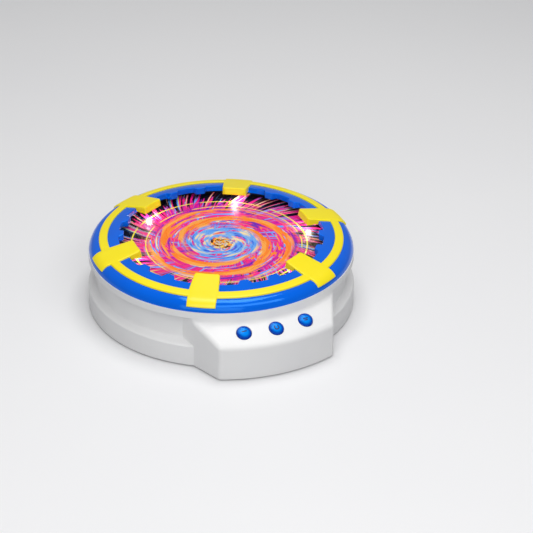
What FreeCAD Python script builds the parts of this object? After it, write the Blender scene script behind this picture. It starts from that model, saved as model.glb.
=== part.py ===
import FreeCAD, Part
import math
import os
import Sketcher

# Spin art machine: a white housing with a button console, a paint well with a turning platter
# for a round card, a blue splash rim on top, and a yellow ring whose six arms carry the lamps.
# Lengths are in millimetres and angles in degrees. Every piece is drawn about the spin axis,
# +Z up, with the console towards -Y. The last step moves them all back along Y, so that the
# origin is under the middle of the whole machine, on the floor.

doc = FreeCAD.newDocument("spin_art_machine")
sheet = doc.addObject("Spreadsheet::Sheet", "Sizes")

SIZES = (
    # radii, stepping outwards from the card
    ("card_radius", 108.0),
    ("card_gap", 0.3),
    ("platter_rim", 1.7),
    ("well_gap", 3.0),
    ("deck_width", 17.5),
    ("rim_inset", 0.5),
    ("waist_inset", 7.0),
    ("skirt_flare", 0.9),
    ("console_reach", 22.1),
    ("button_inset", 13.5),
    ("rim_cover", 7.5),
    ("ring_inset", 10.8),
    ("ring_width", 8.5),
    ("arm_reach", 12.5),
    # heights, stepping upwards from the floor
    ("floor_gap", 1.5),
    ("cover_thick", 3.0),
    ("motor_pad", 1.5),
    ("motor_cap", 2.3),
    ("motor_length", 22.7),
    ("plate_thick", 2.5),
    ("bush_flange", 1.4),
    ("washer_thick", 0.6),
    ("gear_lift", 1.0),
    ("gear_thick", 6.0),
    ("gear_hub_height", 10.0),
    ("hub_gap", 0.9),
    ("boss_length", 7.2),
    ("boss_stand", 1.6),
    ("well_depth", 6.9),
    ("lip_height", 7.4),
    ("slope_start", 3.0),
    ("waist_height", 24.2),
    ("shoulder_drop", 4.4),
    ("platter_lift", 0.8),
    ("spindle_seat", 4.2),
    ("hub_roof", 1.4),
    ("paint_gap", 5.6),
    ("arm_lift", 2.9),
    ("rim_rise", 13.4),
    ("arm_drop_gap", 5.1),
    # white housing
    ("wall", 2.6),
    ("skirt_roll", 2.0),
    ("shoulder_turn", 61.0),
    ("waist_roll", 1.5),
    ("lip_slope_drop", 4.0),
    ("lip_roll", 1.2),
    ("well_roll", 3.0),
    # button console
    ("console_slope", 29.4),
    ("console_roll", 6.0),
    ("console_corner", 5.0),
    ("slope_blend", 4.0),
    ("console_half_turn", 22.2),
    ("facet_turn", 67.4),
    ("console_lap", 5.5),
    ("console_sweep", 90.0),
    # buttons, rubber domes and board under the console
    ("button_spread", 12.8),
    ("button_radius", 7.2),
    ("button_proud", 3.2),
    ("button_edge", 2.0),
    ("button_gap", 0.25),
    ("button_travel", 1.2),
    ("flange_lip", 1.6),
    ("flange_depth", 1.2),
    ("flange_drop", 5.5),
    ("dome_squashed", 3.3),
    ("dome_top_radius", 3.4),
    ("dome_foot_radius", 6.0),
    ("dome_skin", 0.8),
    ("board_length", 86.0),
    ("board_width", 18.0),
    ("board_thick", 1.6),
    ("board_post_radius", 3.0),
    ("capacitor_inset", 9.0),
    ("capacitor_pitch", 8.0),
    ("capacitor_radius", 2.5),
    ("capacitor_height", 6.0),
    ("chip_half_length", 5.0),
    ("chip_half_width", 3.0),
    ("chip_height", 2.0),
    # blue splash rim
    ("rim_skin", 2.2),
    ("rim_slope", 12.5),
    ("rim_edge_roll", 11.5),
    ("tooth_depth", 5.0),
    ("tooth_spread", 8.6),
    ("tooth_base_half", 4.1),
    ("tooth_tip_half", 2.4),
    ("tooth_roll", 5.2),
    ("rim_boss_radius", 3.0),
    ("rim_boss_turn", 30.0),
    # yellow light ring with its arms
    ("arm_count", 6),
    ("ring_proud", 1.5),
    ("ring_gap", 0.15),
    ("arm_corner", 3.0),
    ("arm_end_half", 12.2),
    ("arm_ring_half", 14.2),
    ("arm_rim_half", 13.7),
    ("arm_skin", 1.6),
    ("arm_hollow_depth", 4.0),
    ("arm_sweep", 22.0),
    ("pin_radius", 2.0),
    ("pin_gap", 0.15),
    ("pin_spread", 9.0),
    ("pin_length", 5.0),
    # lamps and their wiring
    ("lamp_inset", 5.0),
    ("lamp_radius", 2.5),
    ("lamp_body", 2.5),
    ("lamp_gap", 0.05),
    ("lamp_boss_skin", 1.5),
    ("loom_inset", 4.4),
    ("loom_radius", 1.0),
    ("lamp_wire_radius", 0.6),
    ("lamp_wire_gap", 0.25),
    ("lamp_wire_lift", 1.3),
    ("wire_notch_half", 1.5),
    # platter
    ("card_thick", 0.6),
    ("platter_thick", 2.5),
    ("platter_lip", 1.2),
    ("platter_edge", 4.0),
    ("platter_ribs", 8),
    ("rib_depth", 2.9),
    ("rib_thick", 1.8),
    ("hub_radius", 6.5),
    ("drip_clear", 2.0),
    ("drip_skin", 1.6),
    ("drip_gap", 1.2),
    # spindle and its bearings
    ("spindle_radius", 2.0),
    ("running_gap", 0.05),
    ("bush_radius", 4.0),
    ("bush_flange_radius", 6.0),
    ("bush_tail", 2.5),
    ("boss_radius", 8.0),
    ("washer_radius", 5.2),
    ("clip_radius", 3.8),
    ("clip_thick", 0.6),
    ("clip_groove", 0.5),
    ("clip_inset", 0.6),
    # gears
    ("gear_module", 0.8),
    ("gear_teeth", 70),
    ("pinion_teeth", 14),
    ("pressure_angle", 20.0),
    ("tooth_backlash", 0.12),
    ("gear_hub_radius", 6.5),
    ("gear_web", 2.4),
    ("gear_rim", 3.0),
    # gearbox plate and motor
    ("plate_margin", 6.0),
    ("plate_corner", 6.0),
    ("post_gap", 13.1),
    ("post_turn", 41.0),
    ("post_radius", 4.0),
    ("motor_width", 20.1),
    ("motor_depth", 15.1),
    ("motor_skin", 0.8),
    ("motor_nose", 3.05),
    ("motor_nose_height", 1.6),
    ("motor_cup_skin", 1.8),
    ("motor_cup_depth", 12.0),
    ("motor_fit", 0.1),
    ("motor_pad_inset", 0.55),
    ("end_cap_floor", 0.8),
    ("shaft_radius", 1.0),
    ("shaft_stub", 0.5),
    ("armature_air", 1.15),
    ("armature_gap", 3.0),
    ("armature_slot_half", 0.6),
    ("armature_slot_in", 1.8),
    # screws
    ("screw_radius", 1.25),
    ("screw_hole", 1.3),
    ("screw_clear", 0.3),
    ("screw_head_radius", 2.4),
    ("screw_head_height", 1.6),
    ("screw_reach", 8.0),
    ("short_screw_reach", 5.0),
    ("screw_spare", 2.0),
    # bottom cover, battery tray and door
    ("cover_gap", 0.3),
    ("cover_boss_lap", 0.6),
    ("cover_boss_radius", 3.8),
    ("cover_boss_drop", 1.6),
    ("tray_front", 26.4),
    ("tray_skin", 2.0),
    ("battery_radius", 7.1),
    ("battery_length", 48.8),
    ("battery_nub", 1.7),
    ("battery_nub_radius", 2.6),
    ("battery_gap", 0.6),
    ("battery_count", 4),
    ("battery_lift", 0.3),
    ("battery_roof_gap", 0.4),
    ("contact_thick", 0.5),
    ("contact_half", 5.0),
    ("contact_spring", 5.5),
    ("contact_spring_radius", 3.6),
    ("door_thick", 2.0),
    ("door_inset", 0.2),
    ("door_gap", 0.3),
    ("door_ear", 10.0),
    ("door_edge", 3.4),
    ("door_screw_out", 6.0),
    ("door_boss", 8.5),
    # rubber feet
    ("foot_inset", 16.5),
    ("foot_radius", 7.0),
    ("foot_recess", 1.0),
    ("foot_turn", 45.0),
)

COVER_SCREW_TURNS = (-40, 10, 60, 120, 170, 220)
FOOT_NAMES = ("foot_back_right", "foot_back_left", "foot_front_left", "foot_front_right")
BUTTON_NAMES = ("left", "centre", "right")


class Size:
    """A length, an angle or a count that carries its number and the expression behind it."""

    def __init__(self, text, value):
        self.text = text
        self.value = value

    def __add__(self, other):
        other = as_size(other)
        return Size(f"({self.text} + {other.text})", self.value + other.value)

    def __sub__(self, other):
        other = as_size(other)
        return Size(f"({self.text} - {other.text})", self.value - other.value)

    def __mul__(self, other):
        other = as_size(other)
        return Size(f"({self.text} * {other.text})", self.value * other.value)

    def __truediv__(self, other):
        other = as_size(other)
        return Size(f"({self.text} / {other.text})", self.value / other.value)

    def __neg__(self):
        return Size(f"(0 - {self.text})", -self.value)

    __radd__ = __add__


def as_size(number):
    if isinstance(number, Size):
        return number
    return Size(repr(number), number)


def sine(angle):
    angle = as_size(angle)
    return Size(f"sin({angle.text})", math.sin(math.radians(angle.value)))


def cosine(angle):
    angle = as_size(angle)
    return Size(f"cos({angle.text})", math.cos(math.radians(angle.value)))


def tangent(angle):
    angle = as_size(angle)
    return Size(f"tan({angle.text})", math.tan(math.radians(angle.value)))


def root(amount):
    return Size(f"sqrt({amount.text})", math.sqrt(amount.value))


class NamedSizes:
    """The sheet's aliases, each as a Size."""


def write_sheet():
    named = NamedSizes()
    for row, (alias, number) in enumerate(SIZES, start=1):
        sheet.set(f"A{row}", alias)
        sheet.set(f"B{row}", str(number))
        sheet.setAlias(f"B{row}", alias)
        setattr(named, alias, Size(f"Sizes.{alias}", number))
    doc.recompute()
    return named


s = write_sheet()
ZERO = as_size(0)

# Sizes that follow from the sheet

# Radii, from the card outwards
platter_radius = s.card_radius + s.card_gap + s.platter_rim
well_radius = platter_radius + s.well_gap
lip_radius = well_radius + s.deck_width
rim_radius = lip_radius - s.rim_inset
waist_radius = lip_radius - s.waist_inset
skirt_radius = lip_radius + s.skirt_flare
console_radius = skirt_radius + s.console_reach
button_ring = console_radius - s.button_inset
aperture_radius = s.card_radius - s.rim_cover
ring_inner = aperture_radius + s.ring_inset
ring_outer = ring_inner + s.ring_width
arm_end_radius = aperture_radius - s.arm_reach
lamp_ring = arm_end_radius + s.lamp_inset
loom_ring = rim_radius - s.loom_inset
rim_boss_ring = well_radius + s.wall + s.screw_head_radius + s.screw_clear
cover_screw_ring = waist_radius - s.wall + s.cover_boss_lap
foot_ring = cover_screw_ring - s.foot_inset
pin_ring = (ring_inner + ring_outer) / 2
drip_radius = s.boss_radius + s.drip_clear + s.drip_skin
console_back = waist_radius - s.console_lap
facet_reach = console_radius * cosine(s.facet_turn - s.console_half_turn)
axis_back = (console_radius - skirt_radius) / 2

# Heights, from the floor upwards
base = s.floor_gap
cover_top = base + s.cover_thick
motor_foot = cover_top + s.motor_pad + s.motor_cap
plate_foot = motor_foot + s.motor_length
plate_top = plate_foot + s.plate_thick
washer_foot = plate_top + s.bush_flange
gear_hub_foot = washer_foot + s.washer_thick
gear_foot = gear_hub_foot + s.gear_lift
gear_top = gear_foot + s.gear_thick
boss_foot = gear_hub_foot + s.gear_hub_height + s.hub_gap
boss_top = boss_foot + s.boss_length
well_floor = boss_top - s.boss_stand
deck_height = well_floor + s.well_depth
lip_foot = deck_height - s.lip_height
lip_corner = lip_foot + s.lip_roll
slope_top = lip_foot - s.slope_start
waist_foot = lip_foot - s.waist_height
skirt_top = waist_foot - s.shoulder_drop
cover_boss_top = waist_foot - s.cover_boss_drop
hub_foot = boss_top + s.bush_flange + s.platter_lift
platter_top = hub_foot + s.spindle_seat + s.hub_roof
drip_foot = well_floor + s.drip_gap
rim_lip_foot = platter_top + s.paint_gap
arm_foot = rim_lip_foot + s.arm_lift
ring_height = deck_height + s.rim_rise
arm_drop_height = deck_height + s.arm_drop_gap
lower_bush_foot = plate_foot - s.bush_tail
clip_foot = lower_bush_foot - s.clip_thick - s.running_gap * 2
spindle_foot = clip_foot - s.clip_inset
loom_height = deck_height + s.loom_radius

# Gears, motor and the plate's posts
gear_pitch_radius = s.gear_module * s.gear_teeth / 2
pinion_pitch_radius = s.gear_module * s.pinion_teeth / 2
motor_out = gear_pitch_radius + pinion_pitch_radius
post_across = (gear_pitch_radius + s.post_gap) * cosine(s.post_turn)
post_along = (gear_pitch_radius + s.post_gap) * sine(s.post_turn)
plate_half = post_across + s.plate_margin
plate_back = post_along + s.plate_margin
motor_half_width = s.motor_width / 2
motor_half_depth = s.motor_depth / 2
plate_front = motor_out + motor_half_depth + s.motor_fit + s.motor_cup_skin + s.plate_margin
motor_pad_half = motor_half_depth - s.motor_pad_inset
armature_radius = motor_half_depth - s.motor_skin - s.armature_air

# Buttons and board
button_rise = s.button_proud - s.button_edge
button_dome = (s.button_radius * s.button_radius + button_rise * button_rise) / (button_rise * 2)
flange_radius = s.button_radius + s.flange_lip
dome_height = s.button_travel + s.dome_squashed
board_post_spread = button_ring * sine(s.button_spread) / 2

# Batteries and door
door_foot = base + s.door_inset
door_top = door_foot + s.door_thick
door_boss_top = cover_top + s.door_boss
battery_height = door_top + s.battery_lift + s.battery_radius
tray_roof = battery_height + s.battery_radius + s.battery_roof_gap
battery_pitch = s.battery_radius * 2 + s.battery_gap
battery_run = s.battery_length + s.battery_nub
tray_inner_length = battery_run + s.contact_spring + s.contact_thick * 2
tray_inner_width = battery_pitch * s.battery_count
tray_middle = s.tray_front + tray_inner_width / 2
door_half_length = tray_inner_length / 2 + s.door_ear
door_half_width = tray_inner_width / 2 + s.door_edge
door_screw_across = tray_inner_length / 2 + s.door_screw_out


def rim_crown(radius):
    """Height of the blue rim's sloping top at a radius."""
    return ring_height - s.ring_proud + (ring_inner - radius) * tangent(s.rim_slope)


rim_roll_out = rim_radius - s.rim_edge_roll
rim_arc_start = rim_roll_out + s.rim_edge_roll * sine(s.rim_slope)
rim_roll_height = rim_crown(rim_arc_start) - s.rim_edge_roll * cosine(s.rim_slope)


def roll_start(radius):
    """Where an arc about the rim's rolled edge leaves the sloping top: distance out and height."""
    return rim_roll_out + radius * sine(s.rim_slope), rim_roll_height + radius * cosine(s.rim_slope)


def roll_out(radius, height):
    """How far out an arc about the rim's rolled edge is at a height."""
    rise = height - rim_roll_height
    return rim_roll_out + root(radius * radius - rise * rise)


def ring_crown(radius):
    """Height of the yellow ring's and arms' top at a radius."""
    return ring_height + (ring_inner - radius) * tangent(s.rim_slope)


def console_height(radius):
    """Height of the console's sloping top at a radius."""
    return slope_top - (radius - lip_radius) * tangent(s.console_slope)


def facet_point(radius, inset):
    """Where a console side, moved in by inset, meets a circle: distance out and to the side."""
    reach = facet_reach - inset
    along = root(radius * radius - reach * reach)
    out = reach * cosine(s.facet_turn) + along * sine(s.facet_turn)
    side = reach * sine(s.facet_turn) - along * cosine(s.facet_turn)
    return out, side


# Helpers: sketches, solids and placing

nodes = []


def bent_side(start, finish, radius, turn):
    """An arc of under a half circle; turn is 1 to the left and -1 to the right."""
    chord = finish - start
    middle = (start + finish) * 0.5
    rise = math.sqrt(max(radius * radius - chord.Length * chord.Length / 4, 0.0))
    across = FreeCAD.Vector(-chord.y, chord.x, 0)
    across.normalize()
    centre = middle + across * (rise * turn)
    circle = Part.Circle(centre, FreeCAD.Vector(0, 0, 1), radius)
    begin, end = (start, finish) if turn > 0 else (finish, start)
    first = math.atan2(begin.y - centre.y, begin.x - centre.x)
    last = math.atan2(end.y - centre.y, end.x - centre.x)
    return Part.ArcOfCircle(circle, first, last), ((1, 2) if turn > 0 else (2, 1))


def bind(sketch, constraint, size):
    number = sketch.addConstraint(constraint)
    sketch.setExpression(f"Constraints[{number}]", size.text)


def pin_point(sketch, side, end, across, up):
    """Holds one end of a side at a place measured from the sketch's origin."""
    if across.value == 0:
        sketch.addConstraint(Sketcher.Constraint("PointOnObject", side, end, -2))
    else:
        bind(sketch, Sketcher.Constraint("DistanceX", -1, 1, side, end, across.value), across)
    if up.value == 0:
        sketch.addConstraint(Sketcher.Constraint("PointOnObject", side, end, -1))
    else:
        bind(sketch, Sketcher.Constraint("DistanceY", -1, 1, side, end, up.value), up)


def draw(sketch, corners):
    """A closed outline. A corner is (across, up), or (across, up, radius, turn) before an arc."""
    count = len(corners)
    points = [FreeCAD.Vector(corner[0].value, corner[1].value, 0) for corner in corners]
    ends = []
    first = sketch.GeometryCount
    for number, corner in enumerate(corners):
        start = points[number]
        finish = points[(number + 1) % count]
        if len(corner) == 2:
            side, side_ends = Part.LineSegment(start, finish), (1, 2)
        else:
            side, side_ends = bent_side(start, finish, corner[2].value, corner[3])
        sketch.addGeometry(side, False)
        ends.append(side_ends)
    for number, corner in enumerate(corners):
        side = first + number
        before = first + (number - 1) % count
        joint = Sketcher.Constraint("Coincident", before, ends[number - 1][1], side, ends[number][0])
        sketch.addConstraint(joint)
        pin_point(sketch, side, ends[number][0], corner[0], corner[1])
        if len(corner) > 2:
            bind(sketch, Sketcher.Constraint("Radius", side, corner[2].value), corner[2])


def draw_circle(sketch, across, up, radius):
    centre = FreeCAD.Vector(across.value, up.value, 0)
    circle = Part.Circle(centre, FreeCAD.Vector(0, 0, 1), radius.value)
    side = sketch.addGeometry(circle, False)
    pin_point(sketch, side, 3, across, up)
    bind(sketch, Sketcher.Constraint("Radius", side, radius.value), radius)


def rectangle(half_across, low, high):
    """Corners of a rectangle about the upright axis of a sketch."""
    return ((-half_across, low), (half_across, low), (half_across, high), (-half_across, high))


def flat_sketch(name, height=ZERO):
    """A sketch lying level at a height."""
    sketch = doc.addObject("Sketcher::SketchObject", name)
    sketch.setExpression("Placement.Base.z", height.text)
    return sketch


def section_sketch(name):
    """A sketch standing on the XZ plane: across is the radius and up is the height."""
    sketch = doc.addObject("Sketcher::SketchObject", name)
    sketch.Placement = FreeCAD.Placement(FreeCAD.Vector(), FreeCAD.Rotation(FreeCAD.Vector(1, 0, 0), 90))
    return sketch


def turned(name, corners, sweep=None):
    """A section turned about the upright axis, all round or evenly about +X by a sweep."""
    sketch = section_sketch(name + "_section")
    draw(sketch, corners)
    solid = doc.addObject("Part::Revolution", name)
    solid.Source = sketch
    solid.Axis = FreeCAD.Vector(0, 0, 1)
    solid.Solid = True
    if sweep is None:
        solid.Angle = 360
    else:
        solid.Symmetric = True
        solid.setExpression("Angle", sweep.text)
    return solid


def raised(name, corners, height, low=ZERO):
    """A level outline raised by a height."""
    sketch = flat_sketch(name + "_outline", low)
    draw(sketch, corners)
    solid = doc.addObject("Part::Extrusion", name)
    solid.Base = sketch
    solid.DirMode = "Custom"
    solid.Dir = FreeCAD.Vector(0, 0, 1)
    solid.Solid = True
    solid.setExpression("LengthFwd", height.text)
    return solid


def at(thing, across=ZERO, along=ZERO, up=ZERO):
    """Binds where an object stands."""
    thing.setExpression("Placement.Base.x", as_size(across).text)
    thing.setExpression("Placement.Base.y", as_size(along).text)
    thing.setExpression("Placement.Base.z", as_size(up).text)
    return thing


def rod(name, radius, low, high, across=ZERO, along=ZERO):
    """An upright cylinder between two heights."""
    solid = doc.addObject("Part::Cylinder", name)
    solid.setExpression("Radius", radius.text)
    solid.setExpression("Height", (high - low).text)
    return at(solid, across, along, low)


def block(name, half_across, front, back, low, high, middle=ZERO):
    """A box even about a middle, between front and back and between two heights."""
    solid = doc.addObject("Part::Box", name)
    solid.setExpression("Length", (half_across * 2).text)
    solid.setExpression("Width", (back - front).text)
    solid.setExpression("Height", (high - low).text)
    return at(solid, middle - half_across, front, low)


def joined(name, parts):
    solid = doc.addObject("Part::MultiFuse", name)
    solid.Shapes = parts
    return solid


def shared(name, parts):
    solid = doc.addObject("Part::MultiCommon", name)
    solid.Shapes = parts
    return solid


def less(name, whole, tool):
    solid = doc.addObject("Part::Cut", name)
    solid.Base = whole
    solid.Tool = tool
    return solid


def group(name, parts):
    """Separate solids kept as one object."""
    solid = doc.addObject("Part::Compound", name)
    solid.Links = parts
    return solid


def spun(thing, degrees):
    """Turns an object about the spin axis."""
    turn = FreeCAD.Rotation(FreeCAD.Vector(0, 0, 1), degrees)
    thing.Placement = FreeCAD.Placement(FreeCAD.Vector(), turn)
    return thing


def node(name, thing, along=ZERO):
    """Names a finished piece and moves it from the spin axis to the machine's own origin."""
    thing.Label = name
    thing.setExpression("Placement.Base.y", (along + axis_back).text)
    nodes.append(thing)
    return thing


def polar(radius, turn):
    """A place on a circle about the spin axis."""
    return radius * cosine(turn), radius * sine(turn)


# Helpers: bodies with features


def new_body(name):
    return doc.addObject("PartDesign::Body", name)


def origin_piece(body, role):
    return next(piece for piece in body.Origin.OriginFeatures if piece.Role == role)


def body_sketch(body, name, role="XY_Plane", height=None):
    sketch = body.newObject("Sketcher::SketchObject", name)
    sketch.AttachmentSupport = [(origin_piece(body, role), "")]
    sketch.MapMode = "FlatFace"
    if height is not None:
        sketch.setExpression("AttachmentOffset.Base.z", height.text)
    return sketch


def body_turn(body, name, corners, kind="PartDesign::Revolution", sweep=None):
    """A section turned about the body's upright axis, as a Revolution or a Groove."""
    sketch = body_sketch(body, name + "_section", "XZ_Plane")
    draw(sketch, corners)
    feature = body.newObject(kind, name)
    feature.Profile = sketch
    feature.ReferenceAxis = (sketch, ["V_Axis"])
    if sweep is None:
        feature.Angle = 360
    else:
        feature.Midplane = True
        feature.setExpression("Angle", sweep.text)
    return feature


def body_pad(body, name, low, high, outlines=(), circles=()):
    """Material raised from one height to another."""
    sketch = body_sketch(body, name + "_outline", height=low)
    for corners in outlines:
        draw(sketch, corners)
    for circle in circles:
        draw_circle(sketch, *circle)
    feature = body.newObject("PartDesign::Pad", name)
    feature.Profile = sketch
    feature.setExpression("Length", (high - low).text)
    return feature


def body_pocket(body, name, low, high, outlines=(), circles=()):
    """A hollow cut upwards from one height to another."""
    sketch = body_sketch(body, name + "_outline", height=low)
    for corners in outlines:
        draw(sketch, corners)
    for circle in circles:
        draw_circle(sketch, *circle)
    feature = body.newObject("PartDesign::Pocket", name)
    feature.Profile = sketch
    feature.Reversed = True
    feature.setExpression("Length", (high - low).text)
    return feature


def body_pattern(body, name, features, count):
    """Repeats features evenly round the body's upright axis."""
    feature = body.newObject("PartDesign::PolarPattern", name)
    feature.Originals = features
    feature.Axis = (origin_piece(body, "Z_Axis"), [""])
    feature.Angle = 360
    feature.setExpression("Occurrences", count.text)
    body.Tip = feature
    return feature


# Housing


def housing_section():
    """Wall section of the round housing: outside from the floor up, then the well, then inside."""
    slope_turn = s.shoulder_turn
    skirt_straight = skirt_top - s.skirt_roll * sine(slope_turn)
    skirt_end = skirt_radius - s.skirt_roll * (as_size(1) - cosine(slope_turn))
    waist_start = waist_radius + s.waist_roll * (as_size(1) - cosine(slope_turn))
    waist_low = waist_foot - s.waist_roll * sine(slope_turn)
    under_floor = well_floor - s.wall
    well_outside = well_radius + s.wall
    under_roll = s.well_roll + s.wall
    return (
        (skirt_radius, base),
        (skirt_radius, skirt_straight, s.skirt_roll, 1),
        (skirt_end, skirt_top),
        (waist_start, waist_low, s.waist_roll, -1),
        (waist_radius, waist_foot),
        (waist_radius, lip_foot - s.lip_slope_drop),
        (lip_radius - s.lip_roll, lip_foot, s.lip_roll, 1),
        (lip_radius, lip_corner),
        (lip_radius, deck_height),
        (well_radius, deck_height),
        (well_radius, well_floor + s.well_roll, s.well_roll, -1),
        (well_radius - s.well_roll, well_floor),
        (s.boss_radius, well_floor),
        (s.boss_radius, boss_top),
        (s.bush_radius, boss_top),
        (s.bush_radius, boss_foot),
        (s.boss_radius, boss_foot),
        (s.boss_radius, under_floor),
        (well_radius - s.well_roll, under_floor, under_roll, 1),
        (well_outside, well_floor + s.well_roll),
        (well_outside, deck_height - s.wall),
        (lip_radius - s.wall, deck_height - s.wall),
        (lip_radius - s.wall, lip_foot + s.wall),
        (waist_radius - s.wall, lip_foot - s.lip_slope_drop + s.wall),
        (waist_radius - s.wall, waist_foot - s.wall / 2),
        (skirt_radius - s.wall, skirt_straight),
        (skirt_radius - s.wall, base),
    )


def console_plan(inset, front_radius, back_radius):
    """Plan of the console, pointing along +X: its bowed front, its two sides and a back line."""
    front_out, front_side = facet_point(front_radius, inset)
    back_out, back_side = facet_point(back_radius, inset)
    return (
        (front_out, -front_side, front_radius, 1),
        (front_out, front_side),
        (back_out, back_side),
        (back_out, -back_side),
    )


def console_outside():
    roll_turn = as_size(90) - s.console_slope
    top_end = console_radius - s.console_roll * (as_size(1) - cosine(roll_turn))
    front_top = console_height(top_end) - s.console_roll * sine(roll_turn)
    blend_reach = s.slope_blend * tangent(roll_turn / 2)
    blend_start = lip_radius + blend_reach * cosine(s.console_slope)
    in_wall = waist_radius - s.wall / 2
    in_skirt = skirt_radius - s.wall * 0.7
    section = (
        (in_skirt, base),
        (console_radius, base),
        (console_radius, front_top, s.console_roll, 1),
        (top_end, console_height(top_end)),
        (blend_start, console_height(blend_start), s.slope_blend, -1),
        (lip_radius, slope_top + blend_reach),
        (lip_radius, lip_corner),
        (in_wall, lip_corner),
        (in_wall, waist_foot - s.wall / 2),
        (in_skirt, skirt_top - s.wall),
    )
    wedge = spun(turned("console_wedge", section, s.console_sweep), -90)
    plan = console_plan(ZERO, console_radius + 1, console_back)
    prism = spun(raised("console_prism", plan, deck_height), -90)
    return rounded_console(shared("console_solid", [wedge, prism]))


def rounded_console(solid):
    """Rounds the console's two upright front corners and the top edges of its sides."""
    doc.recompute()
    rounded = []
    for number, edge in enumerate(solid.Shape.Edges, start=1):
        first = edge.valueAt(edge.FirstParameter)
        last = edge.valueAt(edge.LastParameter)
        middle = edge.valueAt((edge.FirstParameter + edge.LastParameter) / 2)
        beyond_skirt = math.hypot(middle.x, middle.y) > skirt_radius.value + 0.1
        on_side = abs(first.x) > 1 and first.x * last.x > 0
        if beyond_skirt and on_side and middle.z > base.value + 1:
            rounded.append((number, s.console_corner.value, s.console_corner.value))
    fillet = doc.addObject("Part::Fillet", "console_rounded")
    fillet.Base = solid
    fillet.Edges = rounded
    return fillet


def console_inside():
    inner_front = console_radius - s.wall
    fall = s.wall / cosine(s.console_slope)
    inner_back = console_back - s.wall * 2
    section = (
        (inner_back, base - 1),
        (inner_front, base - 1),
        (inner_front, console_height(inner_front) - fall),
        (lip_radius, slope_top - fall),
        (waist_radius, slope_top - s.lip_slope_drop),
        (inner_back, slope_top - s.lip_slope_drop),
    )
    wedge = spun(turned("console_room_wedge", section, s.console_sweep), -90)
    plan = console_plan(s.wall, inner_front + 1, inner_back)
    prism = spun(raised("console_room_prism", plan, deck_height), -90)
    return shared("console_room", [wedge, prism])


# The console's buttons share one frame: its origin is on the slope at the middle button, its
# first axis runs to the right, its second up the slope and its third out of the slope.

slope_origin_height = console_height(button_ring)


def on_slope(thing, across, up_slope, out):
    """Turns an upright object into the slope's frame and puts it there."""
    tilt = FreeCAD.Rotation(FreeCAD.Vector(1, 0, 0), s.console_slope.value)
    thing.Placement = FreeCAD.Placement(FreeCAD.Vector(), tilt)
    thing.setExpression("Placement.Rotation.Angle", s.console_slope.text)
    along = up_slope * cosine(s.console_slope) - out * sine(s.console_slope) - button_ring
    up = up_slope * sine(s.console_slope) + out * cosine(s.console_slope) + slope_origin_height
    at(thing, across, along, up)
    return along


def button_place(side):
    """Across, up-slope and out places of a button on the cone-shaped slope; side is -1, 0 or 1."""
    if side == 0:
        return ZERO, ZERO, ZERO
    across = button_ring * sine(s.button_spread) * side
    back = button_ring * (as_size(1) - cosine(s.button_spread))
    return across, back * cosine(s.console_slope), -(back * sine(s.console_slope))


def slope_rod(name, radius, low, high, across, up_slope):
    """A cylinder that stands square to the slope."""
    solid = doc.addObject("Part::Cylinder", name)
    solid.setExpression("Radius", radius.text)
    solid.setExpression("Height", (high - low).text)
    on_slope(solid, across, up_slope, low)
    return solid


board_top_out = -(s.flange_drop + s.flange_depth + dome_height)


def build_housing():
    shell = turned("housing_shell", housing_section())
    hull = less("housing_hull", joined("housing_outside", [shell, console_outside()]), console_inside())
    solids = [hull]
    holes = []
    for number, turn in enumerate(COVER_SCREW_TURNS):
        across, along = polar(cover_screw_ring, turn)
        solids.append(rod(f"cover_boss_{number}", s.cover_boss_radius, cover_top, cover_boss_top,
                          across, along))
        holes.append(rod(f"cover_boss_hole_{number}", s.screw_hole, cover_top,
                         cover_top + s.screw_reach + s.screw_spare, across, along))
    for side in (-1, 1):
        for end in (-1, 1):
            tag = f"{'left' if side < 0 else 'right'}_{'front' if end < 0 else 'back'}"
            place = (post_across * side, post_along * end)
            top = well_floor - s.wall / 2
            solids.append(rod(f"post_{tag}", s.post_radius, plate_top, top, *place))
            holes.append(rod(f"post_hole_{tag}", s.screw_hole, plate_top,
                             plate_top + s.screw_reach + s.screw_spare, *place))
    for number in range(int(s.arm_count.value)):
        across, along = polar(rim_boss_ring, s.rim_boss_turn + as_size(360) / s.arm_count * number)
        holes.append(rod(f"deck_hole_{number}", s.screw_radius + s.screw_clear,
                         deck_height - s.wall - 1, deck_height + 1, across, along))
    for side in (-1, 1):
        across = board_post_spread * side
        tag = "left" if side < 0 else "right"
        solids.append(slope_rod(f"board_post_{tag}", s.board_post_radius, board_top_out, -(s.wall * 0.8),
                                across, ZERO))
        holes.append(slope_rod(f"board_post_hole_{tag}", s.screw_hole, board_top_out,
                               board_top_out + s.short_screw_reach + s.screw_spare, across, ZERO))
    for name, side in zip(BUTTON_NAMES, (-1, 0, 1)):
        across, up_slope, out = button_place(side)
        holes.append(slope_rod(f"button_hole_{name}", s.button_radius + s.button_gap,
                               out - s.wall * 2, out + s.wall, across, up_slope))
    whole = joined("housing_solids", solids)
    node("upper_housing", less("upper_housing", whole, joined("housing_holes", holes)))


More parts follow.
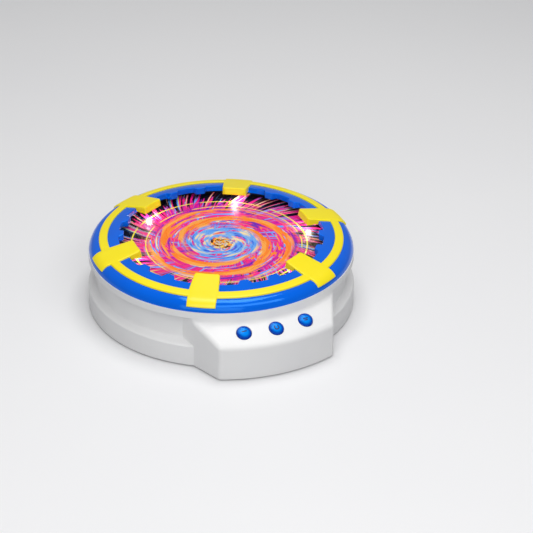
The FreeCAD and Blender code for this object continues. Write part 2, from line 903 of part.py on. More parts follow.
def build_buttons():
    for name, side in zip(BUTTON_NAMES, (-1, 0, 1)):
        across, up_slope, out = button_place(side)
        flange_top = -s.flange_drop
        flange_foot = flange_top - s.flange_depth
        section = (
            (ZERO, flange_foot),
            (flange_radius, flange_foot),
            (flange_radius, flange_top),
            (s.button_radius, flange_top),
            (s.button_radius, out + s.button_edge, button_dome, 1),
            (ZERO, out + s.button_proud),
        )
        cap = turned(f"button_{name}", section)
        along = on_slope(cap, across, up_slope, ZERO)
        node(f"button_{name}", cap, along)
        dome_foot = board_top_out
        dome_section = (
            (s.dome_foot_radius - s.dome_skin * 2, dome_foot),
            (s.dome_foot_radius, dome_foot),
            (s.dome_foot_radius, dome_foot + s.dome_skin),
            (s.dome_top_radius, flange_foot),
            (ZERO, flange_foot),
            (ZERO, flange_foot - s.dome_skin * 2),
            (s.dome_top_radius - s.dome_skin, flange_foot - s.dome_skin * 2),
        )
        dome = turned(f"rubber_dome_{name}", dome_section)
        along = on_slope(dome, across, up_slope, ZERO)
        node(f"rubber_dome_{name}", dome, along)


def build_board():
    board_foot = board_top_out - s.board_thick
    board = doc.addObject("Part::Box", "board_blank")
    board.setExpression("Length", s.board_length.text)
    board.setExpression("Width", s.board_width.text)
    board.setExpression("Height", s.board_thick.text)
    on_slope(board, -(s.board_length / 2), -(s.board_width / 2), board_foot)
    holes = []
    screws = []
    for side in (-1, 1):
        across = board_post_spread * side
        tag = "left" if side < 0 else "right"
        holes.append(slope_rod(f"board_hole_{tag}", s.screw_radius + s.screw_clear, board_foot - 1,
                               board_top_out + 1, across, ZERO))
        shank = slope_rod(f"board_screw_shank_{tag}", s.screw_radius, board_foot,
                          board_top_out + s.short_screw_reach, across, ZERO)
        head = slope_rod(f"board_screw_head_{tag}", s.screw_head_radius, board_foot - s.screw_head_height,
                         board_foot, across, ZERO)
        screws.append(joined(f"board_screw_{tag}", [shank, head]))
    node("control_board", less("control_board", board, joined("board_holes", holes)))
    node("board_screws", group("board_screws", screws))
    parts = []
    end_place = s.board_length / 2 - s.capacitor_inset
    for number, across in enumerate((-end_place, s.capacitor_pitch - end_place, end_place)):
        parts.append(slope_rod(f"capacitor_{number}", s.capacitor_radius, board_foot - s.capacitor_height,
                               board_foot, across, ZERO))
    chip = doc.addObject("Part::Box", "driver_chip")
    chip.setExpression("Length", (s.chip_half_length * 2).text)
    chip.setExpression("Width", (s.chip_half_width * 2).text)
    chip.setExpression("Height", s.chip_height.text)
    on_slope(chip, -s.chip_half_length, -s.chip_half_width, board_foot - s.chip_height)
    parts.append(chip)
    node("board_components", group("board_components", parts))


# Splash rim


def rim_section():
    under = s.rim_skin / cosine(s.rim_slope)
    inside = aperture_radius + s.rim_skin
    arc_inner = s.rim_edge_roll - s.rim_skin
    return (
        (aperture_radius, rim_lip_foot),
        (inside, rim_lip_foot),
        (inside, rim_crown(inside) - under),
        roll_start(arc_inner) + (arc_inner, -1),
        (roll_out(arc_inner, deck_height), deck_height),
        (roll_out(s.rim_edge_roll, deck_height), deck_height, s.rim_edge_roll, 1),
        roll_start(s.rim_edge_roll),
        (aperture_radius, rim_crown(aperture_radius)),
    )


def tooth_plan(side):
    """One rounded tooth that points in from the aperture's edge; side is -1 or 1."""
    root_radius = aperture_radius + s.rim_skin / 2
    tip_radius = aperture_radius - s.tooth_depth
    middle = s.tooth_spread * side
    root_out, root_side = polar(root_radius, middle - s.tooth_base_half)
    tip_out, tip_side = polar(tip_radius, middle - s.tooth_tip_half)
    far_out, far_side = polar(tip_radius, middle + s.tooth_tip_half)
    end_out, end_side = polar(root_radius, middle + s.tooth_base_half)
    return (
        (root_out, root_side),
        (end_out, end_side),
        (far_out, far_side, s.tooth_roll, 1),
        (tip_out, tip_side),
    )


def build_rim():
    body = new_body("splash_rim")
    body_turn(body, "rim_shell", rim_section())
    tooth_top = rim_crown(aperture_radius - s.tooth_depth) + 2
    teeth = body_pad(body, "rim_teeth", rim_lip_foot, tooth_top, [tooth_plan(-1), tooth_plan(1)])
    body_pattern(body, "rim_tooth_pattern", [teeth], s.arm_count)
    inner = aperture_radius - s.tooth_depth * 2
    outer = aperture_radius + s.rim_skin / 4
    body_turn(body, "rim_tooth_trim", (
        (inner, rim_crown(inner)),
        (outer, rim_crown(outer)),
        (outer, tooth_top + 5),
        (inner, tooth_top + 5),
    ), "PartDesign::Groove")
    rim_boss_top = rim_crown(rim_boss_ring) - s.rim_skin / 2
    boss = body_pad(body, "rim_boss", deck_height, rim_boss_top,
                    circles=[(rim_boss_ring, ZERO, s.rim_boss_radius)])
    body_pattern(body, "rim_boss_pattern", [boss], s.arm_count)
    hole_top = deck_height + s.short_screw_reach + s.screw_spare
    hole = body_pocket(body, "rim_boss_hole", deck_height, hole_top,
                       circles=[(rim_boss_ring, ZERO, s.screw_hole)])
    body_pattern(body, "rim_boss_hole_pattern", [hole], s.arm_count)
    arm_turn = s.rim_boss_turn
    holes = []
    for side in (-1, 1):
        across, along = polar(pin_ring, arm_turn + (s.pin_spread / 2) * side)
        holes.append((across, along, s.pin_radius + s.pin_gap))
    pins = body_pocket(body, "rim_pin_hole", deck_height, ring_height, circles=holes)
    body_pattern(body, "rim_pin_hole_pattern", [pins], s.arm_count)
    notch_out, notch_side = polar(aperture_radius - 1, arm_turn)
    reach_out, reach_side = polar(aperture_radius + s.rim_skin + 1, arm_turn)
    shift_out = s.wire_notch_half * sine(arm_turn)
    shift_side = s.wire_notch_half * cosine(arm_turn)
    notch = body_pocket(body, "rim_wire_notch", rim_lip_foot - 1, arm_foot + s.loom_radius, [(
        (notch_out + shift_out, notch_side - shift_side),
        (reach_out + shift_out, reach_side - shift_side),
        (reach_out - shift_out, reach_side + shift_side),
        (notch_out - shift_out, notch_side + shift_side),
    )])
    body_pattern(body, "rim_wire_notch_pattern", [notch], s.arm_count)
    spun(body, s.rim_boss_turn.value)
    body.setExpression("Placement.Rotation.Angle", s.rim_boss_turn.text)
    node("splash_rim", body)


# Light ring


def build_light_ring():
    body = new_body("light_ring")
    arc_out = s.rim_edge_roll + s.ring_proud * cosine(s.rim_slope)
    arc_in = s.rim_edge_roll + s.ring_gap
    low = s.ring_gap / cosine(s.rim_slope)
    heel = aperture_radius - s.ring_gap * 2
    drop_reach = roll_out(arc_out, arm_drop_height)
    under_reach = rim_roll_out + (drop_reach - rim_roll_out) * arc_in / arc_out
    under_height = rim_roll_height + (arm_drop_height - rim_roll_height) * arc_in / arc_out
    arm = body_turn(body, "arm", (
        (arm_end_radius, arm_foot),
        (heel, arm_foot),
        (heel, rim_crown(heel) + low),
        roll_start(arc_in) + (arc_in, -1),
        (under_reach, under_height),
        (drop_reach, arm_drop_height, arc_out, 1),
        roll_start(arc_out),
        (arm_end_radius, ring_crown(arm_end_radius)),
    ), sweep=s.arm_sweep)
    corner = s.arm_corner
    far = rim_radius + 5
    wide = s.arm_ring_half * 2
    trims = []
    for side in (-1, 1):
        trims.append((
            (arm_end_radius, (s.arm_end_half - corner) * side),
            (arm_end_radius + corner, s.arm_end_half * side),
            (ring_inner, s.arm_ring_half * side),
            (far, s.arm_rim_half * side),
            (far, wide * side),
            (arm_end_radius - 5, wide * side),
            (arm_end_radius - 5, (s.arm_end_half - corner) * side),
        ))
    trim = body_pocket(body, "arm_trim", arm_drop_height - 6, ring_height + 12, trims)
    hollow_in = arm_end_radius + s.arm_skin
    hollow_out = heel - s.arm_skin
    hollow_half = s.arm_end_half - s.arm_skin
    hollow_top = arm_foot + s.arm_hollow_depth
    hollow = body_pocket(body, "arm_hollow", arm_foot, hollow_top, [(
        (hollow_in, -(hollow_half - corner)),
        (hollow_in + corner, -hollow_half),
        (hollow_out, -hollow_half),
        (hollow_out, hollow_half),
        (hollow_in + corner, hollow_half),
        (hollow_in, hollow_half - corner),
    )])
    boss = body_pad(body, "lamp_boss", arm_foot, hollow_top + s.ring_gap,
                    circles=[(lamp_ring, ZERO, s.lamp_radius + s.lamp_boss_skin)])
    bore = body_pocket(body, "lamp_bore", arm_foot, hollow_top,
                       circles=[(lamp_ring, ZERO, s.lamp_radius + s.lamp_gap)])
    notch_top = arm_foot + s.lamp_body
    notch = body_pocket(body, "lamp_wire_notch", arm_foot, notch_top, [(
        (lamp_ring + s.lamp_radius, -s.wire_notch_half),
        (heel + 1, -s.wire_notch_half),
        (heel + 1, s.wire_notch_half),
        (lamp_ring + s.lamp_radius, s.wire_notch_half),
    )])
    pin_places = []
    for side in (-1, 1):
        across, along = polar(pin_ring, (s.pin_spread / 2) * side)
        pin_places.append((across, along, s.pin_radius))
    pin_top = rim_crown(pin_ring) + s.ring_proud / 2
    pins = body_pad(body, "ring_pins", pin_top - s.pin_length, pin_top, circles=pin_places)
    body_pattern(body, "arm_pattern", [arm, trim, hollow, boss, bore, notch, pins], s.arm_count)
    body_turn(body, "ring_band", (
        (ring_inner, rim_crown(ring_inner) + low),
        (ring_outer, rim_crown(ring_outer) + low),
        (ring_outer, ring_crown(ring_outer)),
        (ring_inner, ring_crown(ring_inner)),
    ))
    node("light_ring", body)


def build_lamps():
    tip_centre = arm_foot
    for number in range(int(s.arm_count.value)):
        turn = as_size(360) / s.arm_count * number
        across, along = polar(lamp_ring, turn)
        section = (
            (ZERO, tip_centre - s.lamp_radius, s.lamp_radius, 1),
            (s.lamp_radius, tip_centre),
            (s.lamp_radius, tip_centre + s.lamp_body),
            (ZERO, tip_centre + s.lamp_body),
        )
        lamp = turned(f"led_lamp_{number + 1}", section)
        at(lamp, across)
        node(f"led_lamp_{number + 1}", lamp, along)


def build_loom():
    """One wire ring under the splash rim, with a straight branch to each lamp."""
    ring = doc.addObject("Part::Torus", "loom_ring")
    ring.setExpression("Radius1", loom_ring.text)
    ring.setExpression("Radius2", s.loom_radius.text)
    at(ring, up=loom_height)
    start_radius = (lamp_ring + s.lamp_radius + s.lamp_wire_gap).value
    start_height = (arm_foot + s.lamp_wire_lift).value
    pieces = [ring]
    for number in range(int(s.arm_count.value)):
        turn = math.radians(360 / s.arm_count.value * number)
        start = FreeCAD.Vector(start_radius * math.cos(turn), start_radius * math.sin(turn), start_height)
        outer = loom_ring.value
        end = FreeCAD.Vector(outer * math.cos(turn), outer * math.sin(turn), loom_height.value)
        branch = doc.addObject("Part::Feature", f"lamp_wire_{number + 1}")
        run = end - start
        branch.Shape = Part.makeCylinder(s.lamp_wire_radius.value, run.Length, start, run)
        pieces.append(branch)
    node("lamp_loom", joined("lamp_loom", pieces))


# Platter, card and spindle


def build_platter():
    body = new_body("platter")
    under = platter_top - s.platter_thick
    edge_in = s.card_radius + s.card_gap
    rib_out = platter_radius - s.platter_rim / 2
    body_turn(body, "platter_disc", (
        (ZERO, hub_foot + s.spindle_seat),
        (s.spindle_radius, hub_foot + s.spindle_seat),
        (s.spindle_radius, hub_foot),
        (s.hub_radius, hub_foot),
        (s.hub_radius, under),
        (drip_radius - s.drip_skin, under),
        (drip_radius - s.drip_skin, drip_foot),
        (drip_radius, drip_foot),
        (drip_radius, under),
        (edge_in, under),
        (edge_in, platter_top - s.platter_edge),
        (platter_radius, platter_top - s.platter_edge),
        (platter_radius, platter_top + s.platter_lip),
        (edge_in, platter_top + s.platter_lip),
        (edge_in, platter_top),
        (ZERO, platter_top),
    ))
    rib = body_pad(body, "platter_rib", under - s.rib_depth, under + s.platter_thick / 2, [(
        (drip_radius - s.drip_skin / 2, -(s.rib_thick / 2)),
        (rib_out, -(s.rib_thick / 2)),
        (rib_out, s.rib_thick / 2),
        (drip_radius - s.drip_skin / 2, s.rib_thick / 2),
    )])
    body_pattern(body, "platter_rib_pattern", [rib], s.platter_ribs)
    node("platter", body)
    node("art_card", rod("art_card", s.card_radius, platter_top, platter_top + s.card_thick))


def build_spindle():
    top = hub_foot + s.spindle_seat
    whole = rod("spindle_bar", s.spindle_radius, spindle_foot, top)
    neck = s.spindle_radius - s.clip_groove
    groove = turned("spindle_groove", (
        (neck, clip_foot),
        (s.spindle_radius + 1, clip_foot),
        (s.spindle_radius + 1, clip_foot + s.clip_thick),
        (neck, clip_foot + s.clip_thick),
    ))
    node("spindle", less("spindle", whole, groove))
    ring = turned("clip_ring", (
        (neck, clip_foot),
        (s.clip_radius, clip_foot),
        (s.clip_radius, clip_foot + s.clip_thick),
        (neck, clip_foot + s.clip_thick),
    ))
    mouth = block("clip_mouth", neck * 0.9, ZERO, s.clip_radius + 1, clip_foot - 1,
                  clip_foot + s.clip_thick + 1)
    node("retaining_clip", less("retaining_clip", ring, mouth))
    bore = s.spindle_radius + s.running_gap
    node("upper_bush", turned("upper_bush", (
        (bore, boss_foot),
        (s.bush_radius, boss_foot),
        (s.bush_radius, boss_top),
        (s.bush_flange_radius, boss_top),
        (s.bush_flange_radius, boss_top + s.bush_flange),
        (bore, boss_top + s.bush_flange),
    )))
    node("lower_bush", turned("lower_bush", (
        (bore, lower_bush_foot),
        (s.bush_radius, lower_bush_foot),
        (s.bush_radius, plate_top),
        (s.bush_flange_radius, plate_top),
        (s.bush_flange_radius, washer_foot),
        (bore, washer_foot),
    )))
    node("thrust_washer", turned("thrust_washer", (
        (bore + s.running_gap, washer_foot),
        (s.washer_radius, washer_foot),
        (s.washer_radius, gear_hub_foot),
        (bore + s.running_gap, gear_hub_foot),
    )))


# Gears


def gear_outline(teeth, phase):
    """Outline of a spur gear as points: involute flanks from the base circle, straight below it."""
    module = s.gear_module.value
    pitch = module * teeth / 2
    base_circle = pitch * math.cos(math.radians(s.pressure_angle.value))
    tip = pitch + module * 0.9
    bottom = pitch - module * 1.15
    at_pitch = math.tan(math.acos(base_circle / pitch)) - math.acos(base_circle / pitch)
    half_tooth = math.pi / (2 * teeth) - s.tooth_backlash.value / (2 * pitch)
    flank_steps = 3
    flank = []
    start = max(base_circle, bottom)
    for step in range(flank_steps + 1):
        radius = start + (tip - start) * step / flank_steps
        swing = math.acos(min(1.0, base_circle / radius))
        flank.append((radius, half_tooth + at_pitch - (math.tan(swing) - swing)))
    if bottom < base_circle:
        flank.insert(0, (bottom, flank[0][1]))
    points = []
    for tooth in range(teeth):
        middle = phase + 2 * math.pi * tooth / teeth
        turns = [(radius, middle - half) for radius, half in flank]
        turns += [(radius, middle + half) for radius, half in reversed(flank)]
        for radius, turn in turns:
            points.append(FreeCAD.Vector(radius * math.cos(turn), radius * math.sin(turn), 0))
    return points


def toothed_disc(name, teeth, phase, inside, thick):
    """A toothed ring; no standard solid has this outline, so its shape is set here."""
    points = gear_outline(teeth, phase)
    opening = Part.Face(Part.Wire(Part.makeCircle(inside.value)))
    face = Part.Face(Part.makePolygon(points + [points[0]])).cut(opening)
    disc = doc.addObject("Part::Feature", name)
    disc.Shape = face.extrude(FreeCAD.Vector(0, 0, thick.value))
    return disc


def build_gears():
    teeth = int(s.gear_teeth.value)
    gap_towards_pinion = -math.pi / 2 + math.pi / teeth
    rim_inside = gear_pitch_radius - s.gear_module * 1.15 - s.gear_rim
    ring = toothed_disc("gear_ring", teeth, gap_towards_pinion, rim_inside, s.gear_thick)
    at(ring, up=gear_foot)
    web_foot = gear_foot + (s.gear_thick - s.gear_web) / 2
    web_top = web_foot + s.gear_web
    web_out = rim_inside + s.gear_rim / 2
    hub_top = gear_hub_foot + s.gear_hub_height
    middle = turned("gear_middle", (
        (s.spindle_radius, gear_hub_foot),
        (s.gear_hub_radius, gear_hub_foot),
        (s.gear_hub_radius, web_foot),
        (web_out, web_foot),
        (web_out, web_top),
        (s.gear_hub_radius, web_top),
        (s.gear_hub_radius, hub_top),
        (s.spindle_radius, hub_top),
    ))
    node("drive_gear", joined("drive_gear", [ring, middle]))
    pinion_count = int(s.pinion_teeth.value)
    pinion = toothed_disc("motor_pinion", pinion_count, math.pi / 2, s.shaft_radius, s.gear_thick)
    at(pinion, up=gear_foot)
    node("motor_pinion", pinion, -motor_out)


# Gearbox plate and motor


def can_plan(half_width, half_depth):
    """Plan of the motor: two flats joined by round ends, about its own axis."""
    half_flat = root(half_width * half_width - half_depth * half_depth)
    return (
        (-half_flat, -half_depth),
        (half_flat, -half_depth, half_width, 1),
        (half_flat, half_depth),
        (-half_flat, half_depth, half_width, 1),
    )


def moved_plan(corners, along):
    return tuple((corner[0], corner[1] + along) + tuple(corner[2:]) for corner in corners)


def build_gearbox_plate():
    body = new_body("gearbox_plate")
    corner = s.plate_corner
    body_pad(body, "plate", plate_foot, plate_top, [(
        (-plate_half + corner, -plate_front),
        (plate_half - corner, -plate_front, corner, 1),
        (plate_half, -plate_front + corner),
        (plate_half, plate_back - corner, corner, 1),
        (plate_half - corner, plate_back),
        (-plate_half + corner, plate_back, corner, 1),
        (-plate_half, plate_back - corner),
        (-plate_half, -plate_front + corner, corner, 1),
    )])
    cup_foot = plate_foot - s.motor_cup_depth
    half_width = motor_half_width + s.motor_fit
    half_depth = motor_half_depth + s.motor_fit
    outer = can_plan(half_width + s.motor_cup_skin, half_depth + s.motor_cup_skin)
    body_pad(body, "motor_cup", cup_foot, plate_foot, [moved_plan(outer, -motor_out)])
    inner = can_plan(half_width, half_depth)
    body_pocket(body, "motor_room", cup_foot, plate_foot, [moved_plan(inner, -motor_out)])
    holes = [
        (ZERO, ZERO, s.bush_radius),
        (ZERO, -motor_out, s.motor_nose + s.motor_fit),
    ]
    for side in (-1, 1):
        for end in (-1, 1):
            holes.append((post_across * side, post_along * end, s.screw_radius + s.screw_clear))
    body_pocket(body, "plate_holes", plate_foot, plate_top, circles=holes)
    node("gearbox_plate", body)


def build_motor():
    half_width = motor_half_width
    half_depth = motor_half_depth
    skin = s.motor_skin
    can = raised("can_outside", can_plan(half_width, half_depth), plate_foot - motor_foot, motor_foot)
    room = raised("can_room", can_plan(half_width - skin, half_depth - skin),
                  plate_foot - skin - motor_foot, motor_foot)
    nose = rod("can_nose", s.motor_nose, plate_foot, plate_foot + s.motor_nose_height)
    bore = s.shaft_radius + s.running_gap
    shaft_hole = rod("can_hole", bore, plate_foot - skin - 1, plate_foot + s.motor_nose_height + 1)
    shell = less("can_shell", can, room)
    node("motor_can", less("motor_can", joined("can_with_nose", [shell, nose]), shaft_hole), -motor_out)
    cap_foot = motor_foot - s.motor_cap
    cap = raised("end_cap_blank", can_plan(half_width, half_depth), s.motor_cap, cap_foot)
    cap_hole = rod("end_cap_hole", bore, cap_foot + s.end_cap_floor, motor_foot + 1)
    node("motor_end_cap", less("motor_end_cap", cap, cap_hole), -motor_out)
    shaft_foot = cap_foot + s.end_cap_floor
    node("motor_shaft", rod("motor_shaft", s.shaft_radius, shaft_foot, gear_top + s.shaft_stub), -motor_out)
    drum = rod("armature_drum", armature_radius, motor_foot + s.armature_gap,
               plate_foot - skin - s.armature_gap)
    cuts = [rod("armature_bore", s.shaft_radius, motor_foot, plate_foot)]
    for number in range(3):
        slot = block(f"armature_slot_{number}", s.armature_slot_half, s.shaft_radius + s.armature_slot_in,
                     armature_radius + 1,
                     motor_foot, plate_foot)
        cuts.append(spun_copy(slot, number * 120))
    node("motor_armature", less("motor_armature", drum, joined("armature_cuts", cuts)), -motor_out)
    pad_foot = cover_top
    pad = block("motor_pad", motor_pad_half, -motor_pad_half, motor_pad_half, pad_foot, cap_foot)
    node("motor_pad", pad, -motor_out - motor_pad_half)


def spun_copy(thing, degrees):
    """The object turned about the upright axis, inside a group of its own."""
    return spun(group(thing.Name + "_turned", [thing]), degrees)


# Bottom cover, batteries and door


def cover_plan():
    """Plan of the bottom cover: the skirt's inside and the console's inside, less a gap."""
    inset = s.wall + s.cover_gap
    front_out, front_side = facet_point(console_radius - inset, inset)
    back_out, back_side = facet_point(skirt_radius - inset, inset)
    round_radius = skirt_radius - inset
    return (
        (-front_side, -front_out, console_radius - inset, 1),
        (front_side, -front_out),
        (back_side, -back_out, round_radius, 1),
        (ZERO, round_radius, round_radius, 1),
        (-back_side, -back_out),
    )


def build_bottom_cover():
    body = new_body("bottom_cover")
    body_pad(body, "cover_plate", base, cover_top, [cover_plan()])
    skin = s.tray_skin
    half_length = tray_inner_length / 2
    half_width = tray_inner_width / 2
    front = tray_middle - half_width
    back = tray_middle + half_width
    body_pad(body, "tray_block", cover_top, tray_roof + skin,
             [rectangle(half_length + skin, front - skin, back + skin)])
    door_bosses = [(door_screw_across * side, tray_middle, s.cover_boss_radius) for side in (-1, 1)]
    body_pad(body, "door_bosses", cover_top, door_boss_top, circles=door_bosses)
    body_pocket(body, "tray_room", base, tray_roof, [rectangle(half_length, front, back)])
    body_pocket(body, "door_recess", base, door_top, [rectangle(door_half_length + s.door_gap,
                tray_middle - door_half_width - s.door_gap, tray_middle + door_half_width + s.door_gap)])
    door_holes = [(door_screw_across * side, tray_middle, s.screw_hole) for side in (-1, 1)]
    body_pocket(body, "door_screw_holes", door_top, door_boss_top - 1, circles=door_holes)
    screw_places = [polar(cover_screw_ring, turn) for turn in COVER_SCREW_TURNS]
    through = [place + (s.screw_radius + s.screw_clear,) for place in screw_places]
    sunk = [place + (s.screw_head_radius + s.screw_clear,) for place in screw_places]
    body_pocket(body, "cover_screw_holes", base, cover_top, circles=through)
    body_pocket(body, "cover_screw_seats", base, base + s.screw_head_height, circles=sunk)
    seats = []
    for number in range(4):
        across, along = polar(foot_ring, s.foot_turn + 90 * number)
        seats.append((across, along, s.foot_radius))
    body_pocket(body, "foot_seats", base, base + s.foot_recess, circles=seats)
    node("bottom_cover", body)


def build_screws():
    screws = []
    for number, turn in enumerate(COVER_SCREW_TURNS):
        across, along = polar(cover_screw_ring, turn)
        head_top = base + s.screw_head_height
        head = rod(f"cover_screw_head_{number}", s.screw_head_radius, base, head_top, across, along)
        shank = rod(f"cover_screw_shank_{number}", s.screw_radius, head_top, cover_top + s.screw_reach,
                    across, along)
        screws.append(joined(f"cover_screw_{number}", [head, shank]))
    node("cover_screws", group("cover_screws", screws))
    plate_screws = []
    for side in (-1, 1):
        for end in (-1, 1):
            tag = f"{side + 1}{end + 1}"
            place = (post_across * side, post_along * end)
            head = rod(f"plate_screw_head_{tag}", s.screw_head_radius, plate_foot - s.screw_head_height,
                       plate_foot, *place)
            shank = rod(f"plate_screw_shank_{tag}", s.screw_radius, plate_foot,
                        plate_top + s.screw_reach, *place)
            plate_screws.append(joined(f"plate_screw_{tag}", [head, shank]))
    node("gearbox_screws", group("gearbox_screws", plate_screws))
    rim_screws = []
    under_deck = deck_height - s.wall
    for number in range(int(s.arm_count.value)):
        across, along = polar(rim_boss_ring, s.rim_boss_turn + as_size(360) / s.arm_count * number)
        head = rod(f"rim_screw_head_{number}", s.screw_head_radius, under_deck - s.screw_head_height,
                   under_deck, across, along)
        shank = rod(f"rim_screw_shank_{number}", s.screw_radius, under_deck,
                    deck_height + s.short_screw_reach, across, along)
        rim_screws.append(joined(f"rim_screw_{number}", [head, shank]))
    node("rim_screws", group("rim_screws", rim_screws))


def build_batteries():
    plate_inner = tray_inner_length / 2 - s.contact_thick
    springs = []
    plates = []
    for number in range(int(s.battery_count.value)):
        along = tray_middle + battery_pitch * (number - (s.battery_count.value - 1) / 2)
        facing = 1 if number % 2 == 0 else -1
        can = doc.addObject("Part::Cylinder", f"battery_can_{number + 1}")
        can.setExpression("Radius", s.battery_radius.text)
        can.setExpression("Height", s.battery_length.text)
        nub = doc.addObject("Part::Cylinder", f"battery_nub_{number + 1}")
        nub.setExpression("Radius", s.battery_nub_radius.text)
        nub.setExpression("Height", s.battery_nub.text)
        at(nub, up=s.battery_length)
        battery = joined(f"battery_{number + 1}", [can, nub])
        lying = FreeCAD.Rotation(FreeCAD.Vector(0, 1, 0), 90 * facing)
        battery.Placement = FreeCAD.Placement(FreeCAD.Vector(), lying)
        start = plate_inner - battery_run
        at(battery, start * facing, ZERO, battery_height)
        node(f"battery_{number + 1}", battery, along)
        spring = doc.addObject("Part::Cone", f"battery_spring_{number + 1}")
        spring.setExpression("Radius1", s.contact_spring_radius.text)
        spring.setExpression("Radius2", (s.contact_spring_radius * 0.6).text)
        spring.setExpression("Height", s.contact_spring.text)
        spring.Placement = FreeCAD.Placement(FreeCAD.Vector(), lying)
        at(spring, -(plate_inner * facing), along, battery_height)
        springs.append(spring)
        for end in (-1, 1):
            inner, outer = plate_inner, tray_inner_length / 2
            middle = (inner + outer) / 2 * end
            plates.append(block(f"contact_{number + 1}_{end + 1}", s.contact_thick / 2,
                                along - s.contact_half, along + s.contact_half,
                                battery_height - s.contact_half,
                                battery_height + s.contact_half, middle))
    node("battery_springs", group("battery_springs", springs))
    node("battery_contacts", group("battery_contacts", plates))


def build_door():
    body = new_body("battery_door")
    front = tray_middle - door_half_width
    back = tray_middle + door_half_width
    body_pad(body, "door_plate", door_foot, door_top, [rectangle(door_half_length, front, back)])
    hole = s.screw_radius + s.running_gap
    seat = s.screw_head_radius + s.running_gap
    holes = [(door_screw_across * side, tray_middle, hole) for side in (-1, 1)]
    seats = [(door_screw_across * side, tray_middle, seat) for side in (-1, 1)]
    body_pocket(body, "door_holes", door_foot, door_top, circles=holes)
    body_pocket(body, "door_seats", door_foot, door_foot + s.door_thick / 2, circles=seats)
    node("battery_door", body)
    screws = []
    seat_top = door_foot + s.door_thick / 2
    for side in (-1, 1):
        place = (door_screw_across * side, tray_middle)
        head = rod(f"door_screw_head_{side + 1}", s.screw_head_radius, door_foot, seat_top, *place)
        shank = rod(f"door_screw_shank_{side + 1}", s.screw_radius, seat_top, door_boss_top - 2, *place)
        screws.append(joined(f"door_screw_{side + 1}", [head, shank]))
    node("door_screws", group("door_screws", screws))


def build_feet():
    for number, name in enumerate(FOOT_NAMES):
        across, along = polar(foot_ring, s.foot_turn + 90 * number)
        foot = rod(name, s.foot_radius, ZERO, base + s.foot_recess, across)
        node(name, foot, along)


def check_document():
    """Stops when any object failed or any finished piece is not a valid solid."""
    for thing in doc.Objects:
        if "Invalid" in thing.State or "Error" in thing.State:
            raise RuntimeError(f"{thing.Name} failed: {thing.State}")
    for piece in nodes:
        shape = piece.Shape
        if shape.isNull() or not shape.isValid() or shape.Volume <= 0:
            raise RuntimeError(f"{piece.Label} is not a valid solid")


def write_parts():
    os.makedirs("parts", exist_ok=True)
    for piece in nodes:
        piece.Shape.exportStep(os.path.join("parts", piece.Label + ".step"))
        print(f"{piece.Label}: {len(piece.Shape.Solids)} solid(s), {piece.Shape.Volume:.0f} mm3")


build_housing()
build_buttons()
build_board()
build_rim()
build_light_ring()
build_lamps()
build_loom()
build_platter()
build_spindle()
build_gears()
build_gearbox_plate()
build_motor()
build_bottom_cover()
build_screws()
build_batteries()
build_door()
build_feet()
doc.recompute()
check_document()
write_parts()
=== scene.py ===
# Spin art machine: looks, finer shapes, floor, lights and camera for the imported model.
# Objects are in metres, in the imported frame. Mesh code works in millimetres about the
# turntable's axis, and make_piece scales it.

import math

import bpy
from mathutils import Matrix, Vector


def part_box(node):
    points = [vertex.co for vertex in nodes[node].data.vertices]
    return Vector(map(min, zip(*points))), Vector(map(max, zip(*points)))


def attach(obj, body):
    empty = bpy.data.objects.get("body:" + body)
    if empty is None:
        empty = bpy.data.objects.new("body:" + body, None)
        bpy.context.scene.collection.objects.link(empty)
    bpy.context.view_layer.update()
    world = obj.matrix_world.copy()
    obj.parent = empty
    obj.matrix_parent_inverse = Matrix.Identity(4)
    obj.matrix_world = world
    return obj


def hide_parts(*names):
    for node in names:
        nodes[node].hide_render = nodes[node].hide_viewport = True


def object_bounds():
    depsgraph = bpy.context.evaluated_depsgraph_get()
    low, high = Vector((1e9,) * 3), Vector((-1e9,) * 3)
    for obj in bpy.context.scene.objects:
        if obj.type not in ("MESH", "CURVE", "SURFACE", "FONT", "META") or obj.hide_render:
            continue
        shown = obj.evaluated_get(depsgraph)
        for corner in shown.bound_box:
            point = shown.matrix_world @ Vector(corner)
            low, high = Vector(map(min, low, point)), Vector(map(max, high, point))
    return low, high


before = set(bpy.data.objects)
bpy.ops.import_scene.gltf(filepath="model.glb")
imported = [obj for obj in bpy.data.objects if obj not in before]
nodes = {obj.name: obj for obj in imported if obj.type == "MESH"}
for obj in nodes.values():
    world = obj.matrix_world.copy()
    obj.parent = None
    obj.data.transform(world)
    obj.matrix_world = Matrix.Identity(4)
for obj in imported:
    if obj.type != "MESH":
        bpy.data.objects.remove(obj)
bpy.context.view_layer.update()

MM = 0.001
platter_low, platter_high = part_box("platter")
AXIS_X = (platter_low[0] + platter_high[0]) / 2
AXIS_Y = (platter_low[1] + platter_high[1]) / 2

# Sizes in millimetres, shared with the solids

APERTURE = 100.5
TOOTH_DEPTH = 5.0
TOOTH_SPREAD = 8.6
RING_INNER = 111.3
RING_OUTER = 119.8
RING_PROUD = 1.5
RIM_CROWN = 70.8
RIM_EDGE = 129.9
RIM_FOOT = 58.9
RIM_LIP_FOOT = 67.0
RIM_SKIN = 2.2
ROLL_CENTRE = (118.5, 57.42)
ROLL = 11.5
SLOPE_DEGREES = 12.5
SLOPE = math.radians(SLOPE_DEGREES)

ARM_COUNT = 6
ARM_PITCH = 360.0 / ARM_COUNT
ARM_FOOT = 69.9
ARM_END = 88.0
ARM_DROP = 64.0
ARM_END_HALF = 12.2
ARM_RING_HALF = 14.2
ARM_FLARE_START = 91.0
ARM_DEEP_END = 100.0

CARD_RADIUS = 108.0
CARD_LOW = 61.4
CARD_TOP = 62.0

